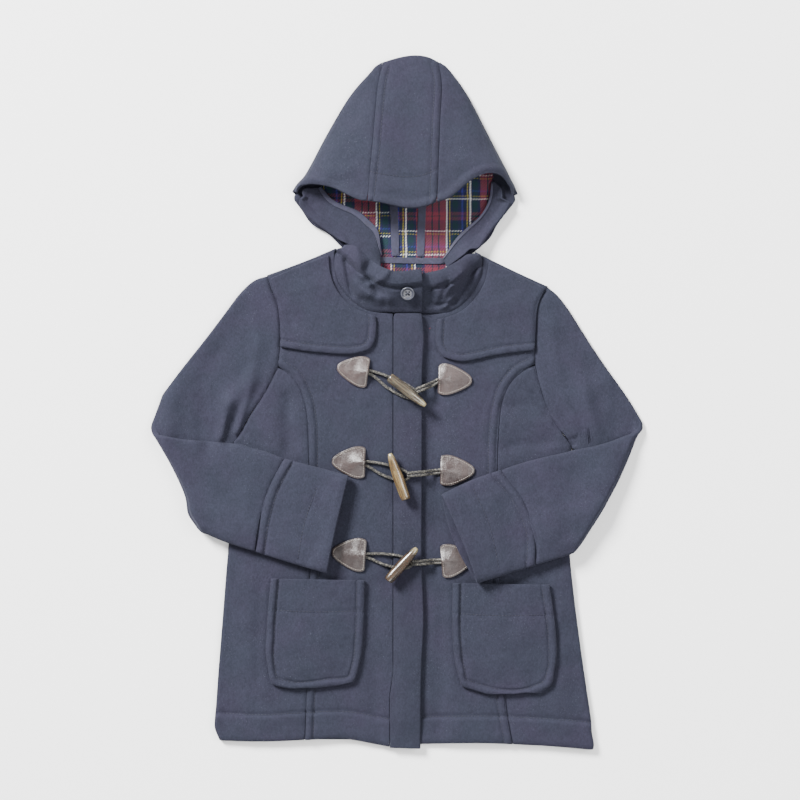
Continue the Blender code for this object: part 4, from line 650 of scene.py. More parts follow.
def pulled(points, pulls):
    """Moves parts of an outline in plan, so that corners round off and gaps close."""
    moved = points.copy()
    for x, y, dx, dy, reach, (low, high) in pulls:
        share = bump(np.hypot(points[:, 0] - x, points[:, 1] - y), reach)
        share *= ease((points[:, 2] - low) / 2) * ease((high - points[:, 2]) / 2)
        moved[:, 0] += dx * share
        moved[:, 1] += dy * share
    return moved


def pulled_curve(curve, pulls):
    points = np.array([(x, y, 20.0) for x, y in curve])
    return [tuple(p[:2]) for p in pulled(points, pulls)]


POCKET_PULLS = {
    "right": [(-108, -338, 0, 6.5, 20, ANY), (-82, -334, 0, 2.5, 14, ANY), (-142, -320, -2.5, -3.5, 10, ANY),
              (-52, -320, 1.5, -2.0, 9, ANY)],
    "left": [(124, -343, 0, 7.5, 24, ANY), (146, -342, 0, 2.5, 10, ANY), (92, -338, 0, 1.5, 12, ANY),
             (165, -333, 1.0, -3.5, 9, ANY), (174, -321, 2.0, -3.5, 8, ANY), (76, -325, -1.5, -2.5, 8, ANY)],
}
WELT_PULLS = {"right": [], "left": [(142, -118, 3.5, 0.5, 22, ANY), (158, -165, 4.0, 1.0, 26, ANY)]}
FOREHEAD_PULLS = [(-46, 238, 1.0, -6.0, 22, UPPER), (6, 224, 0, -3.0, 26, UPPER)]
for side in SIDES:
    POCKET_EDGE[side] = pulled_curve(POCKET_EDGE[side], POCKET_PULLS[side])
    WELT[side] = pulled_curve(WELT[side], WELT_PULLS[side])
FOREHEAD_SHOWN = pulled_curve(FOREHEAD, FOREHEAD_PULLS)

STITCH_LINES = {}           # node: curves in plan on which stitches lie


def stitch_line(node, curve):
    STITCH_LINES.setdefault(node, []).append(np.asarray(curve))


HEM_DEPTH = 31.5
SEAM_STITCH = 9.3           # from a princess seam or pocket edge to its stitches
YOKE_STITCH = 8.6
WELT_STITCH = 10.8

for side in SIDES:
    centre, outside = "front_%s_centre" % side, "front_%s_side" % side
    hem = beside(HEM[side], HEM_DEPTH, (0, 0))
    outer = abs(hem[:, 0]) > abs(PRINCESS[side][0][0])
    for node, line in (
            (centre, beside(PRINCESS[side], SEAM_STITCH, (0, PRINCESS[side][3][1]))),
            (centre, hem[~outer]), (outside, hem[outer]),
            ("yoke_" + side, beside(YOKE_EDGE[side], YOKE_STITCH, (middle_x(YOKE_EDGE[side]), 110))),
            ("pocket_" + side, beside(POCKET_EDGE[side], SEAM_STITCH, (middle_x(POCKET_EDGE[side]), -230))),
            ("pocket_" + side, smooth(POCKET_HEM[side])),
            ("cuff_" + side, beside(WELT[side], WELT_STITCH, (0, -140))),
            ("cuff_" + side, smooth(CUFF_HEM[side])),
            ("hood_centre", beside(HOOD_SEAM[side], YOKE_STITCH, (10, 300)))):
        stitch_line(node, line)
stitch_line("hood_centre", smooth(HOOD_STITCH))


SLEEVE_FOLDS = {
    "right": [
        # x0, y0, x1, y1, width, height
        (-163, 64, -170, 24, 9, 1.8), (-170, 22, -194, -2, 7.5, 3.6), (-194, -4, -205, -44, 6, 5.0),
        (-192, -24, -195, -48, 4.2, -5.4), (-188, -42, -204, -48, 5, -3.0), (-170, 12, -185, -36, 4.5, 2.6),
        (-218, 14, -217, -44, 10, -7.5), (-260, 4, -264, -38, 14, 5.0), (-172, 44, -180, 33, 4, -2.2),
        (-190, 108, -214, 70, 13, 1.3), (-166, 120, -160, 64, 8, 1.0), (-205, 60, -222, 34, 10, -1.4),
    ],
    "left": [
        (172, 110, 184, 40, 10, 1.6), (188, 44, 210, 8, 11, 2.4), (216, 6, 226, -34, 9, 4.6),
        (200, -47, 222, -42, 4.5, -4.0), (262, 6, 262, -34, 16, -4.0), (190, 4, 204, -24, 6, 1.4),
        (212, 80, 226, 44, 14, -1.8), (186, 60, 198, 20, 6, -1.2),
    ],
}
FOREARM_FOLDS = {
    "right": [
        (-216, -131, -120, -168, 24, 3.6), (-250, -70, -232, -128, 13, 1.6), (-212, -64, -186, -118, 13, -1.2),
        (-236, -138, -212, -148, 7, 1.2), (-165, -74, -186, -150, 13, 0.9), (-230, -104, -206, -140, 9, -0.8),
        (-140, -74, -160, -128, 6, -0.5),
    ],
    "left": [
        (226, -128, 112, -172, 26, 4.0), (252, -60, 222, -122, 12, 1.5), (206, -62, 196, -140, 14, -1.2),
        (208, -158, 190, -166, 7, 1.1), (168, -70, 178, -150, 13, 0.8), (226, -112, 204, -148, 9, -0.8),
        (136, -92, 152, -150, 6, -0.5),
    ],
}
CUFF_FOLDS = {
    "right": [(-112, -84, -134, -176, 11, 0.9), (-86, -92, -104, -188, 8, -0.8), (-66, -92, -86, -190, 5, 0.8),
              (-84, -172, -98, -190, 7, 1.0)],
    "left": [(100, -90, 122, -180, 11, 0.9), (76, -104, 96, -192, 8, -0.8), (54, -112, 84, -198, 5, 0.8)],
}
HOOD_FOLDS = [
    (-92, 262, -40, 306, 24, 2.4), (98, 268, 56, 306, 24, 2.3), (-60, 334, -40, 300, 14, -1.6),
    (68, 344, 58, 300, 14, -1.6), (12, 378, 12, 250, 22, -1.8), (-110, 254, -62, 262, 8, 1.2),
    (120, 268, 84, 272, 9, 1.2), (-98, 276, -68, 316, 10, -1.3), (110, 288, 84, 326, 10, -1.3),
    (-24, 244, 34, 240, 8, 1.4), (-66, 252, -44, 246, 9, -1.2), (70, 256, 54, 244, 9, -1.2),
]
NECK_FOLDS = {
    "right": [
        (-60, 160, -53, 122, 3.6, -4.2), (-53, 172, -41, 144, 4.2, 4.0), (-36, 150, -24, 126, 4.6, -6.6),
        (-31, 134, -15, 140, 3.6, 3.4), (-41, 124, -12, 117, 6, 3.2), (-68, 136, -48, 111, 3.2, 1.8),
        (-46, 134, -34, 122, 4, 2.4), (-18, 128, -15, 112, 4, -1.8), (18, 118, 19, 106, 2.0, -0.8),
    ],
    "left": [
        (87, 152, 66, 117, 4.8, -5.4), (74, 147, 52, 122, 4.6, 3.0), (66, 120, 50, 104, 3.3, 4.2),
        (60, 112, 46, 110, 2.8, -3.0), (37, 134, 38, 106, 5, -4.4), (94, 150, 84, 124, 3.6, 1.4),
        (56, 134, 50, 118, 3.3, -3.0),
    ],
}
BAND_PULLS = {"right": [(-97, 204, -2.5, -2.5, 15, LOWER)], "left": [(103, 190, 2.5, -1.5, 13, LOWER)]}
FACING_PULLS = [(-46, 214, 2.0, 3.5, 18, ANY), (-27, 194, 2.5, 2.5, 12, ANY)]
PULLS = {
    # x, y, shift in x and in y, reach, range of heights
    "sleeve_right": [(-187, -47, 8.5, 0.5, 9, ANY), (-239, -129, -4.0, -1.5, 13, ANY),
                     (-286, -34, -0.5, -2.5, 9, ANY), (-139, 41, 0.9, 0, 4, ANY), (-151, 143, 1.2, 0.3, 5, ANY)],
    "sleeve_left": [(204, -50, -5.5, 0.5, 7, ANY), (279, -26, 3.0, -4.5, 10, ANY), (158, 42, -0.9, 0, 4, ANY),
                    (173, 131, -1.0, 0.3, 5, ANY)] + WELT_PULLS["left"],
    "cuff_left": WELT_PULLS["left"],
    "pocket_right": POCKET_PULLS["right"],
    "pocket_left": POCKET_PULLS["left"],
    "front_right_side": [(-185, -49, -5.0, 0.5, 6, ANY), (-207, -376, -3.5, 0, 12, ANY)],
    "front_left_side": [(221, -396, 3.5, -0.5, 11, ANY)],
    "hood_side_right": [(-22.1, 389.3, 3.0, -0.5, 3.5, ANY), (-115, 233, -4.0, 0.5, 9, LOWER),
                        (-117, 241, -1.4, 0, 14, ANY), (-115, 249, -1.8, 0.6, 7, ANY),
                        (-119, 241, 1.8, 0.5, 6, UPPER)] + BAND_PULLS["right"] + FOREHEAD_PULLS,
    "hood_side_left": [(50.7, 389, -2.8, -0.5, 3.5, ANY), (130, 232, 4.0, 0.5, 10, LOWER),
                       (132, 240, 1.0, 0, 12, ANY), (133, 247.5, 1.0, 0, 7, ANY),
                       (134.5, 239, -1.8, 0.5, 6, UPPER)] + BAND_PULLS["left"],
    "hood_centre": FOREHEAD_PULLS,
    "hood_facing_right": BAND_PULLS["right"] + FACING_PULLS + [(-105, 243, -4.5, 5.0, 9, ANY)],
    "hood_facing_left": BAND_PULLS["left"] + [(117, 250, 2.5, 5.0, 10, ANY)],
    "facing_tape_right": FACING_PULLS,
    "neck_band_right": [(-67, 182, 3.5, -3.5, 6, ANY)],
    "neck_band_left": [(91, 175, -2.0, -3.0, 5, ANY)],
}
SEAM_SHIFT = 4.0            # of the seam between the right front and its placket, towards the left, above the hem
PLACKET_LEFT, PLACKET_RIGHT = -9, 28

wool = wool_finish("wool_outside")
# lighter and darker copies of one wool: painted shade on the placket and the hood, painted light on the sleeves
wool_placket_painted_shade = wool_finish("wool_placket_painted_shade", shade=0.92)
wool_hood_painted_shade = wool_finish("wool_hood_painted_shade", shade=0.96)
wool_sleeve_painted_light = wool_finish("wool_sleeve_painted_light", shade=1.04)
tartan_centre = tartan_finish("tartan_centre", -9.2, 168.8)
tartan_right = tartan_finish("tartan_hood_right", 61.8, 253.9)
tartan_left = tartan_finish("tartan_hood_left", -19.2, 168.8)
tape = tape_finish("binding_tape")
tape_level = tape_finish("neck_tape_finish", math.pi / 2)

PIECES = {}
FLOOR = "floor"


def paint_reverse(made, is_reverse):
    """Gives the faces that the rule picks the second material."""
    faces = made.data.polygons
    chosen = is_reverse(read(faces, "center") / MM, read(faces, "normal"))
    faces.foreach_set("material_index", chosen.astype(np.int32))


def facing_down(centre, normal):
    found = normal[:, 2] < -0.35
    for curve in list(ARMHOLE.values()) + list(PRINCESS.values()):
        found &= distance_to(centre[:, 0], centre[:, 1], smooth(curve, 8)) > 4
    return found


def back_inside(centre, normal):
    return (normal[:, 2] > 0.5) & inside(centre[:, 0], centre[:, 1], REVERSE_SHOWN)


def hood_inside(centre, normal):
    """The lower layer's upper side between the facings, and the upper layer's underside behind its facing."""
    shown = inside(centre[:, 0], centre[:, 1], REVERSE_SHOWN)
    lower = (normal[:, 2] > 0.3) & (centre[:, 2] < 5.8) & shown
    behind = distance_to(centre[:, 0], centre[:, 1], smooth(FOREHEAD)) > 40
    return lower | ((normal[:, 2] < -0.3) & (centre[:, 2] > 2.6) & behind)


def placket_seam(points, placket):
    """Moves the placket's seam, and widens the placket where it bulges."""
    x, y = points[:, 0], points[:, 1]
    moved = points.copy()
    near = np.where(x > PLACKET_LEFT, 1 - ease((x - PLACKET_LEFT) / 26), ease((x - PLACKET_LEFT + 24) / 24))
    moved[:, 0] += SEAM_SHIFT * ease((y + 344) / 35) * near
    if placket:
        wider = 2.2 * bump(y - 72, 24) + 2.8 * bump(y + 250, 45)
        moved[:, 0] += wider * ease((x + 5) / (PLACKET_RIGHT + 5))
    return moved


SEAM_GAP = 0.12             # what stays open on each side of a seam
FINE = 70                   # points to a span, where an edge is drawn along a curve
NECK_ROLL, NECK_ROLL_REACH = 8.0, 6.0
NECK_ROLL_TAPER = 18.0      # along the edge, at its outer end


def meet(points, curve, above=3.0, reach=9.0, step=4.0, taper=0.0):
    """Draws a piece's edge up to its seam's line, as far as it falls short of it."""
    dense = smooth(curve, FINE)
    gap, nearest, run = nearest_on(points[:, 0], points[:, 1], dense)
    bins = (run / step).astype(int)
    close = (gap < reach) & (points[:, 2] > above)
    filled = [k for k in range(bins.max() + 1) if (close & (bins == k)).any()]
    short = [gap[close & (bins == k)].min() for k in filled]
    edge = np.interp(run / step - 0.5, filled, short)
    shift = np.maximum(edge - SEAM_GAP, 0) * ease(1 - (gap - edge) / reach) * (gap < reach + 4)
    shift *= ease((points[:, 2] - above + 1) / 1.5)
    if taper:
        shift *= ease(run / taper) * ease((lengths(dense)[-1] - run) / taper)
    towards = (nearest - points[:, :2]) / np.maximum(gap, 0.01)[:, None]
    moved = points.copy()
    moved[:, :2] += towards * shift[:, None]
    return moved


def turned_out(points, curve, side):
    """Draws a neck band out past its upper edge, to make cloth for its roll."""
    dense = smooth(curve, FINE)
    gap, _, run = nearest_on(points[:, 0], points[:, 1], dense)
    taper = ease((run if side == "right" else lengths(dense)[-1] - run) / NECK_ROLL_TAPER)
    index = np.clip(np.searchsorted(lengths(dense), run), 0, len(dense) - 1)
    amount = NECK_ROLL * taper * np.clip(1 - gap / NECK_ROLL_REACH, 0, 1)
    moved = points.copy()
    moved[:, :2] += left_of(np.gradient(dense, axis=0))[index] * amount[:, None]
    return moved


def shaped(node, points):
    """The piece's outline, with seams closed and rolls drawn out."""
    side = "right" if "right" in node else "left"
    if node.startswith("sleeve"):
        points = meet(points, ARMHOLE[side])
    if node.startswith("hood_facing"):
        points = meet(points, FACE_RIM[side], above=0, reach=16, taper=14)
    if node in ("front_right_centre", "placket"):
        points = placket_seam(points, node == "placket")
    if node.startswith("neck_band"):
        points = meet(points, NECK_SEAM[side], above=0, reach=6)
        points = turned_out(points, NECK_RIM[side], side)
    points = pulled(points, PULLS.get(node, []))
    if node.startswith(("sleeve", "cuff")):
        points = meet(points, WELT[side], above=12, reach=6, step=6)
    return points


def as_sheet(made, node):
    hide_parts(node)
    PIECES[node] = made


def cloth_piece(node, level, heights, reverse=None, materials=None, slot="wool", weld=WELD,
                rounded=ROUNDED, inflate=INFLATE):
    """A finer copy of a cloth node, moved up and down by its heights."""
    made = finer(node, node + "_cloth", level, weld, rounded)
    normal = normals_of(made)
    start = points_of(made) + normal * inflate
    points = shaped(node, start)
    x, y, z = start.T.copy() if node.startswith("neck_band") else points.T.copy()
    for height in heights:
        points[:, 2] += height(x, y, z, normal[:, 2])
    points[:, 2] = np.maximum(points[:, 2], 0)
    set_points(made, points)
    finish_mesh(made, slot, *(materials or (wool, tartan_centre)))
    if reverse:
        paint_reverse(made, reverse)
    as_sheet(made, node)


CLOTH = 2.3                 # thickness of the coating
BACK_STEP = 0.02            # metres between the cuts that divide the back


def surface_nap(x, y, z, up):
    """Fine unevenness of the upper side alone."""
    return (0.13 * ripple(x, y, 8, 21) + 0.06 * ripple(x, y, 3.6, 22)) * np.clip(up, 0, 1)


def folded(folds, above, soft=2.0):
    """Folds in what lies higher than a given height; a hollow goes no deeper than that height."""
    def height(x, y, z, up):
        outer = z + CLOTH / 2 * (1 - up)
        total = fold_field(x, y, folds) * ease((outer - above) / soft)
        return np.maximum(total, np.minimum(above - outer, 0) * 0.85)
    return height


def raised(place, reach, rise):
    """The whole cloth rises round a place."""
    def height(x, y, z, up):
        return rise * ease(1.6 * (1 - np.hypot(x - place[0], y - place[1]) / reach))
    return height


def puffed(middle, reach, rise):
    """A soft swelling of a panel's middle."""
    def height(x, y, z, up):
        away = np.hypot((x - middle[0]) / reach[0], (y - middle[1]) / reach[1])
        return rise * ease(1 - away) * np.clip(up * 1.5, 0, 1)
    return height


def back_piece():
    """The back, divided into small faces; its underside stays flat on the surface."""
    mesh = bmesh.new()
    mesh.from_mesh(frame["nodes"]["back"].data)
    bmesh.ops.remove_doubles(mesh, verts=mesh.verts, dist=1e-5)
    for normal, low, high in ((Vector((1, 0, 0)), -0.26, 0.26), (Vector((0, 1, 0)), -0.42, 0.2)):
        for k in range(int((high - low) / BACK_STEP)):
            bmesh.ops.bisect_plane(mesh, geom=mesh.verts[:] + mesh.edges[:] + mesh.faces[:],
                                   plane_co=normal * (low + k * BACK_STEP), plane_no=normal)
    data = bpy.data.meshes.new("back_cloth")
    mesh.to_mesh(data)
    mesh.free()
    made = placed("back_cloth", data)
    set_points(made, points_of(made) / MM)
    finish_mesh(made, "wool", wool, tartan_left, angle=30)
    paint_reverse(made, back_inside)
    as_sheet(made, "back")


def tape_piece(node, material=tape):
    cloth_piece(node, 2, [], slot="tape", materials=(material,), weld=0.1, rounded=0.25, inflate=0)


back_piece()
for side in SIDES:
    centre, edge, yoke = "front_%s_centre" % side, "front_%s_side" % side, "yoke_%s" % side
    pocket, sleeve, cuff = "pocket_" + side, "sleeve_" + side, "cuff_" + side
    armhole = sewn_edge(ARMHOLE[side], valley=1.2)
    hem = turned_hem(HEM[side], HEM_DEPTH, 1.5)
    cloth_piece(centre, 3, [draped, surface_nap, armhole, hem,
                            sewn_edge(PRINCESS[side], SEAM_STITCH, 1.0, 0.9, 0.8)], facing_down)
    cloth_piece(edge, 3, [draped, surface_nap, armhole, hem, sewn_edge(PRINCESS[side], valley=0.9)],
                facing_down)
    cloth_piece(yoke, 3, [draped, surface_nap, armhole, sewn_edge(YOKE_EDGE[side], YOKE_STITCH, 1.0, 0.9)],
                facing_down)
    middle = (middle_x(POCKET_EDGE[side]), -272)
    cloth_piece(pocket, 3, [draped, surface_nap, sewn_edge(POCKET_EDGE[side], SEAM_STITCH, 1.9, 1.3),
                            stitched_line(POCKET_HEM[side], 1.3), puffed(middle, (48, 62), 2.2)],
                facing_down)
    cloth_piece(sleeve, 3, [draped, surface_nap, folded(SLEEVE_FOLDS[side], 5.0),
                            folded(FOREARM_FOLDS[side], 14.0), sewn_edge(ARMHOLE[side], valley=1.4),
                            sewn_edge(WELT[side], valley=1.0, above=14)],
                materials=(wool_sleeve_painted_light, tartan_centre))
    cloth_piece(cuff, 3, [draped, surface_nap, folded(CUFF_FOLDS[side], 14.0),
                          sewn_edge(WELT[side], WELT_STITCH, 1.7, 1.2, 1.0, above=14),
                          stitched_line(CUFF_HEM[side], 0.9, above=14)],
                materials=(wool_sleeve_painted_light, tartan_centre), inflate=0.35)
    cloth_piece("hood_side_" + side, 3,
                [folded(HOOD_FOLDS, 6.0, 4.0), surface_nap, sewn_edge(HOOD_SEAM[side], valley=0.8, above=7),
                 rolled_rim(FOREHEAD_SHOWN, 10, 2.2, low=6.5), rolled_rim(FACE_RIM[side], 7.5, 0.6, high=7.5)],
                hood_inside, (wool_hood_painted_shade, tartan_right if side == "right" else tartan_left), rounded=0.6)
    cloth_piece("neck_band_" + side, 4,
                [folded(NECK_FOLDS[side], 8.0, 4.0), surface_nap, rolled_rim(NECK_RIM[side], 11, 2.6),
                 stitched_line(beside(NECK_RIM[side], 12, (0, 100)), 1.6), sewn_edge(NECK_SEAM[side], valley=0.8)],
                facing_down)
    cloth_piece("hood_facing_" + side, 3,
                [surface_nap, rolled_rim(FACE_RIM[side], 10, 2.0), raised(FACE_RIM[side][0], 22, 1.5)],
                facing_down, (wool, wool))
    tape_piece("facing_tape_" + side)
    tape_piece("gusset_tape_" + side)
cloth_piece("placket", 4, [draped, surface_nap, placket_height], facing_down,
            (wool_placket_painted_shade, tartan_centre))
cloth_piece("hood_centre", 3,
            [folded(HOOD_FOLDS, 6.0, 4.0), surface_nap, stitched_line(HOOD_STITCH, 0.7, above=7),
             rolled_rim(FOREHEAD_SHOWN, 10, 2.2, low=6.5)]
            + [sewn_edge(HOOD_SEAM[side], YOKE_STITCH, 0.7, 0.7, 0.7, above=7) for side in SIDES],
            hood_inside, (wool_hood_painted_shade, tartan_centre))
tape_piece("neck_tape", tape_level)

# ---------------------------------------------------------------- stitches

STITCH_LENGTH = 2.9
STITCH_PITCH = 3.7
STITCH_RADIUS = 0.28
STITCH_SINK = 0.05
STITCH_SIDES = 6
STITCH_PROFILE = [(-0.5, 0.25), (-0.3, 0.9), (0.0, 1.0), (0.3, 0.9), (0.5, 0.25)]    # share of length, of radius
TOO_STEEP = 1.8             # share of its length past which a stitch would bridge a step
HIGH_ABOVE = 0.1            # metres: height from which rays find the cloth


def tube_faces(rings, sides, first=0):
    """Faces of a closed tube whose points come ring by ring."""
    faces = []
    for ring in range(first, first + (rings - 1) * sides, sides):
        for k in range(sides):
            p, q = ring + k, ring + (k + 1) % sides
            faces.append((p, q, q + sides, p + sides))
    last = first + (rings - 1) * sides
    return faces + [tuple(first + k for k in reversed(range(sides))), tuple(last + k for k in range(sides))]


def stitches(name, lines, surface, material, length=STITCH_LENGTH, pitch=STITCH_PITCH,
             radius=STITCH_RADIUS):
    """Short threads along lines in plan, lying on the surface."""
    mesh = surface.data
    tree = BVHTree.FromPolygons([v.co.copy() for v in mesh.vertices], [tuple(p.vertices) for p in mesh.polygons])
    vertices, faces = [], []
    for line in lines:
        run = lengths(line)[-1]
        for start in np.arange(pitch / 2, run - pitch / 2, pitch):
            ends = at(line, [start - length / 2, start + length / 2]) * MM
            a, b = (tree.ray_cast(Vector((x, y, HIGH_ABOVE)), Vector((0, 0, -1)))[0] for x, y in ends)
            if a is None or b is None or (a - b).length > TOO_STEEP * length * MM:
                continue
            axis = (b - a).normalized()
            side_way = axis.cross(Vector((0, 0, 1))).normalized()
            up = side_way.cross(axis).normalized()
            middle = (a + b) / 2 + up * (radius - STITCH_SINK) * MM
            faces += tube_faces(len(STITCH_PROFILE), STITCH_SIDES, len(vertices))
            for share, width in STITCH_PROFILE:
                for k in range(STITCH_SIDES):
                    angle = math.tau * k / STITCH_SIDES
                    spoke = side_way * math.cos(angle) + up * math.sin(angle)
                    vertices.append(middle + axis * (length * share * MM) + spoke * (radius * width * MM))
    made = new_piece(name, vertices, faces)
    made.data.validate()
    made.data.materials.append(material)
    made.data.shade_smooth()
    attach(made, "root")


thread = plain_finish("navy_thread", (34, 36, 50), 0.6, 900)
thread_taupe = plain_finish("taupe_thread", (150, 142, 134), 0.5, 900)
for node, curves in STITCH_LINES.items():
    stitches(node + "_stitches", curves, PIECES[node], thread)

# ---------------------------------------------------------------- cords

CORD_RADIUS = 1.65
BRAID_SIDES = 20
BRAID_STEP = 0.42
BRAID_STRANDS = 4
BRAID_PITCH = 9.0


def cord_finish(name):
    f = Finish(name)
    colour = f.cloud(620, 3, 0.65, (0.36, srgb(20, 19, 19)), (0.52, srgb(56, 54, 51)),
                     (0.68, srgb(140, 135, 124)))
    f.set(Base_Color=colour, Roughness=0.6, Specular_IOR_Level=0.35, Sheen_Weight=0.1,
          Normal=f.bump(f.noise(1800, 2, 0.6), 0.5, 0.0003))
    return f.material


cord_material = cord_finish("braided_cord")


def centre_line(node, sides=6):
    """The middle line of a cord's solid: the middles of its rings of points, counted from one end."""
    mesh = bmesh.new()
    mesh.from_mesh(frame["nodes"][node].data)
    bmesh.ops.remove_doubles(mesh, verts=mesh.verts, dist=1e-6)
    mesh.verts.ensure_lookup_table()
    across = 2 * (CORD_RADIUS + 0.1) * MM

    def end_ring(vertex):
        """The points of an end's flat face, if the vertex is on one."""
        for face in vertex.link_faces:
            flat, queue = {face}, [face]
            while queue:
                for edge in queue.pop().edges:
                    for other in edge.link_faces:
                        if other not in flat and other.normal.dot(face.normal) > 0.99999:
                            flat.add(other)
                            queue.append(other)
            points = {v for f in flat for v in f.verts}
            if len(points) == sides and max((v.co - vertex.co).length for v in points) < across:
                return points
        return None

    ring = next(found for found in map(end_ring, mesh.verts) if found)
    seen, line = set(ring), []
    while ring:
        line.append(sum((v.co for v in ring), Vector()) / len(ring) / MM)
        ring = {e.other_vert(v) for v in ring for e in v.link_edges} - seen
        seen |= ring
    mesh.free()
    return np.array(line)


def braid(name, node):
    """A braided cord along its solid's middle line."""
    line = smooth(centre_line(node), 8)
    run = lengths(line)[-1]
    count = int(run / BRAID_STEP)
    route = at(line, np.linspace(0, run, count + 1))
    tangent = unit(np.gradient(route, axis=0))
    across = unit(np.cross(tangent, [0, 0, 1.0]))
    up = np.cross(across, tangent)
    turn = math.tau * np.linspace(0, run, count + 1)[:, None] / BRAID_PITCH
    angle = (math.tau * np.arange(BRAID_SIDES) / BRAID_SIDES)[None, :]
    one = np.cos(BRAID_STRANDS * (angle + turn))
    two = np.cos(BRAID_STRANDS * (angle - turn))
    over = 0.5 + 0.5 * np.sin(BRAID_STRANDS * angle) * np.sin(BRAID_STRANDS * turn)
    height = np.maximum(one * over, two * (1 - over))
    radius = CORD_RADIUS * (0.92 + 0.22 * np.clip(height * 1.5, 0, 1))
    spoke = np.cos(angle)[..., None] * across[:, None] + np.sin(angle)[..., None] * up[:, None]
    points = (route[:, None] + spoke * radius[..., None]).reshape(-1, 3)
    points[:, 2] += drape(points[:, 0], points[:, 1]) + placket_lift(points[:, 0], points[:, 1])
    faces = [face[:1] + face[:0:-1] for face in tube_faces(count + 1, BRAID_SIDES)]
    made = new_piece(name, points, faces)
    finish_mesh(made, "cord", cord_material, angle=80)
    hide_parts(node)


for number in "123":
    braid("loop_braid_" + number, "loop_cord_" + number)
    for place in ("upper", "lower"):
        braid("toggle_braid_%s_%s" % (number, place), "toggle_cord_%s_%s" % (number, place))

# ---------------------------------------------------------------- leather patches, toggles and the button

PATCHES = {
    # tone, darker from the upper patches to the lower ones as painted light and shade; share by which it is longer and
    # wider than its solid, shift in y
    "loop_patch_1": (0.98, 1.03, 1.18, -1.0), "toggle_patch_1": (1.0, 1.16, 1.19, 0.8),
    "loop_patch_2": (0.89, 1.13, 1.22, 0.3), "toggle_patch_2": (0.93, 1.22, 1.17, 1.0),
    "loop_patch_3": (0.78, 1.08, 1.28, -0.4), "toggle_patch_3": (0.88, 1.15, 1.28, -0.4),
}
CORD_RIDGE = 1.5            # rise of a patch over the ends of its cord
CORD_RIDGE_WIDTH = 3.6
PATCH_REACH = 17            # over which a patch's middle and its ridge fade out
PATCH_STITCH = 1.9          # from a patch's edge to its stitches
RIM_POINTS = 72             # directions in which a patch's edge is looked for


def outline_in_plan(made, inset):
    """The piece's outline seen from above, drawn in by the inset, as a closed curve in mm."""
    points = points_of(made)[:, :2] / MM
    x, y = (points - points.mean(axis=0)).T
    angle, reach = np.arctan2(y, x), np.hypot(x, y)
    rim = []
    for k in range(RIM_POINTS):
        middle = -math.pi + math.tau * (k + 0.5) / RIM_POINTS
        near = np.abs(np.angle(np.exp(1j * (angle - middle)))) < math.tau / RIM_POINTS * 0.8
        if near.any():
            rim.append(points[np.nonzero(near)[0][np.argmax(reach[near])]])
    rim = np.array(rim)
    drawn = rim + left_of(np.roll(rim, -1, axis=0) - np.roll(rim, 1, axis=0)) * inset
    return np.vstack([drawn, drawn[:1]])


for node, (tone, longer, wider, shift) in PATCHES.items():
    made = finer(node, node + "_leather", 3, 0.1, 0.35)
    points = points_of(made)
    low, high = points.min(axis=0), points.max(axis=0)
    tip, mouth = (high[0], low[0]) if node.startswith("toggle") else (low[0], high[0])
    middle = (low[1] + high[1]) / 2
    mouth = tip + (mouth - tip) * longer
    x, across = tip + (points[:, 0] - tip) * longer, (points[:, 1] - middle) * wider
    y = middle + across + shift
    ridge = CORD_RIDGE * bump(across, CORD_RIDGE_WIDTH) * ease(1 - abs(x - mouth) / PATCH_REACH)
    swell = 0.7 * ease(1 - np.hypot(x - (tip + mouth) / 2, across) / PATCH_REACH)
    upper_side = np.clip(normals_of(made)[:, 2], 0, 1)
    z = points[:, 2] + drape(x, y) + (0.5 * ripple(x, y, 15, 31) + swell + ridge) * upper_side
    set_points(made, np.stack([x, y, z], axis=1))
    # the tone paints light and shade: the upper patches lighter, the lower ones darker
    finish_mesh(made, "leather", leather_finish(node + "_finish", tone))
    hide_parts(node)
    stitches(node + "_stitches", [outline_in_plan(made, PATCH_STITCH)], made, thread_taupe, 2.2, 2.6, 0.34)

HORN = {
    # pale, mid and dark tones, turn that lays the toggle along x (radians), pale end's slope and start along it
    "toggle_1": ((112, 102, 84), (74, 66, 54), (42, 36, 31), 0.675, (68.75, -0.8875)),
    "toggle_2": ((132, 110, 72), (94, 74, 46), (54, 41, 27), 1.231, (-68.75, 4.6125)),
    "toggle_3": ((84, 66, 48), (46, 35, 27), (22, 17, 15), -0.845, (68.75, 8.6)),
}
TOGGLE_SWELL = 0.95         # by which a toggle is thicker all round than its solid

for node, look in HORN.items():
    made = finer(node, node + "_horn", 3, 0.05, 0.5)
    points = points_of(made)
    middle = points[:, :2].mean(axis=0)[:, None]
    swell = TOGGLE_SWELL + 0.3 * ripple(points[:, 0] + points[:, 2], points[:, 1], 24, 41)
    points += normals_of(made) * swell[:, None]
    points[:, 2] += (drape(*middle) + placket_lift(*middle))[0]
    set_points(made, points)
    finish_mesh(made, "horn", horn_finish(node + "_finish", *look))
    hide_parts(node)

button = finer("neck_button", "neck_button_resin", 2, 0.05, 0.25)
finish_mesh(button, "button", plain_finish("button_resin", (64, 66, 78), 0.3, 180, 0.2, 0.0002, 0.6), angle=35)
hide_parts("neck_button")

BUTTON_PLACE = (11.0, 124.5)
BUTTON_LEAN = math.radians(26.5)
BUTTON_NORMAL = np.array([0, -math.sin(BUTTON_LEAN), math.cos(BUTTON_LEAN)])
BUTTON_SLOPE = np.array([0, math.cos(BUTTON_LEAN), math.sin(BUTTON_LEAN)])
BUTTON_SEAT_Z = 21.5
BUTTON_FACE = 1.2 + 0.55 + 2.1    # from its seat to the threads on its face
BUTTON_HOLE_PITCH = 1.75
THREAD_RADIUS, THREAD_RINGS, THREAD_SIDES = 0.3, 9, 8


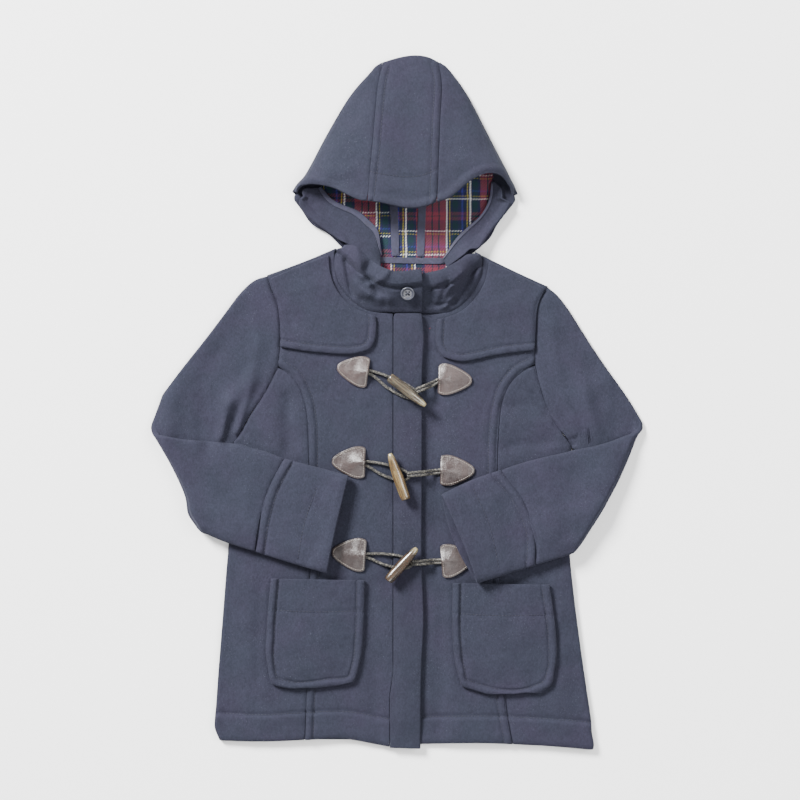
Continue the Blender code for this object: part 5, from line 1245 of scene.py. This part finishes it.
def thread_bar(a, b, rise):
    """The points of a bowed thread between two points, ring by ring."""
    across = np.cross((b - a) / np.linalg.norm(b - a), BUTTON_NORMAL)
    points = []
    for t in np.linspace(0, 1, THREAD_RINGS):
        middle = a + (b - a) * t + BUTTON_NORMAL * rise * math.sin(math.pi * t)
        for k in range(THREAD_SIDES):
            angle = math.tau * k / THREAD_SIDES
            points.append(middle + THREAD_RADIUS * (across * math.cos(angle) + BUTTON_NORMAL * math.sin(angle)))
    return points


def button_thread():
    """Crossed threads through the button's four holes."""
    seat = np.array([*BUTTON_PLACE, BUTTON_SEAT_Z]) + BUTTON_NORMAL * BUTTON_FACE
    vertices, faces = [], []
    for way, rise in ((1, 0.55), (-1, 1.0)):
        for shift in (-0.28, 0.28):
            ends = [seat + a * BUTTON_HOLE_PITCH * (np.array([1, 0, 0]) + BUTTON_SLOPE * way)
                    + np.array([shift, 0, 0]) for a in (-1, 1)]
            faces += tube_faces(THREAD_RINGS, THREAD_SIDES, len(vertices))
            vertices += thread_bar(*ends, rise)
    finish_mesh(new_piece("button_thread", vertices, faces), "button", thread, angle=80)


button_thread()

# ---------------------------------------------------------------- floor, lights and camera

FLOOR_SIZE = 12.0
FLOOR_DROP = 0.0002         # metres by which the floor lies below the coat, so that they don't share a plane
WORLD_LIGHT = 0.62
LIGHTS = {
    # place, size, power; each points to the middle of the coat
    "key": ((-2.8, 2.9, 2.8), 1.7, 1130),
    "fill": ((1.8, 0.4, 2.2), 1.8, 75),
    "front": ((0.2, -2.0, 2.2), 1.8, 45),
}
CAMERA_PLACE = (0.0023, 0.00115, 2.6)
FRONT_HEIGHT = 0.008
FRAME_WIDTH = 0.92          # metres across the picture at the height of the coat's front
SENSOR = 36.0


def floor():
    half = FLOOR_SIZE / 2
    made = new_piece(FLOOR, [(-half, -half, 0), (half, -half, 0), (half, half, 0), (-half, half, 0)], [(0, 1, 2, 3)])
    made.location.z = -FLOOR_DROP
    paper = Finish("white_paper")
    paper.set(Base_Color=(0.93, 0.93, 0.93, 1), Roughness=0.9)
    made.data.materials.append(paper.material)


def world():
    made = bpy.data.worlds.new("studio")
    made.use_nodes = True
    inputs = made.node_tree.nodes["Background"].inputs
    inputs["Color"].default_value = (1, 1, 1, 1)
    inputs["Strength"].default_value = WORLD_LIGHT
    bpy.context.scene.world = made


def light(name, place, size, power):
    data = bpy.data.lights.new(name, "AREA")
    data.shape = "DISK"
    data.size = size
    data.energy = power
    made = placed(name, data)
    made.location = place
    made.rotation_euler = (-Vector(place)).to_track_quat("-Z", "Y").to_euler()


def camera():
    data = bpy.data.cameras.new("camera")
    data.sensor_width = SENSOR
    data.lens = SENSOR * (CAMERA_PLACE[2] - FRONT_HEIGHT) / FRAME_WIDTH
    data.clip_end = 20
    made = placed("camera", data)
    made.location = CAMERA_PLACE
    bpy.context.scene.camera = made


floor()
world()
for name, setting in LIGHTS.items():
    light(name, *setting)
camera()
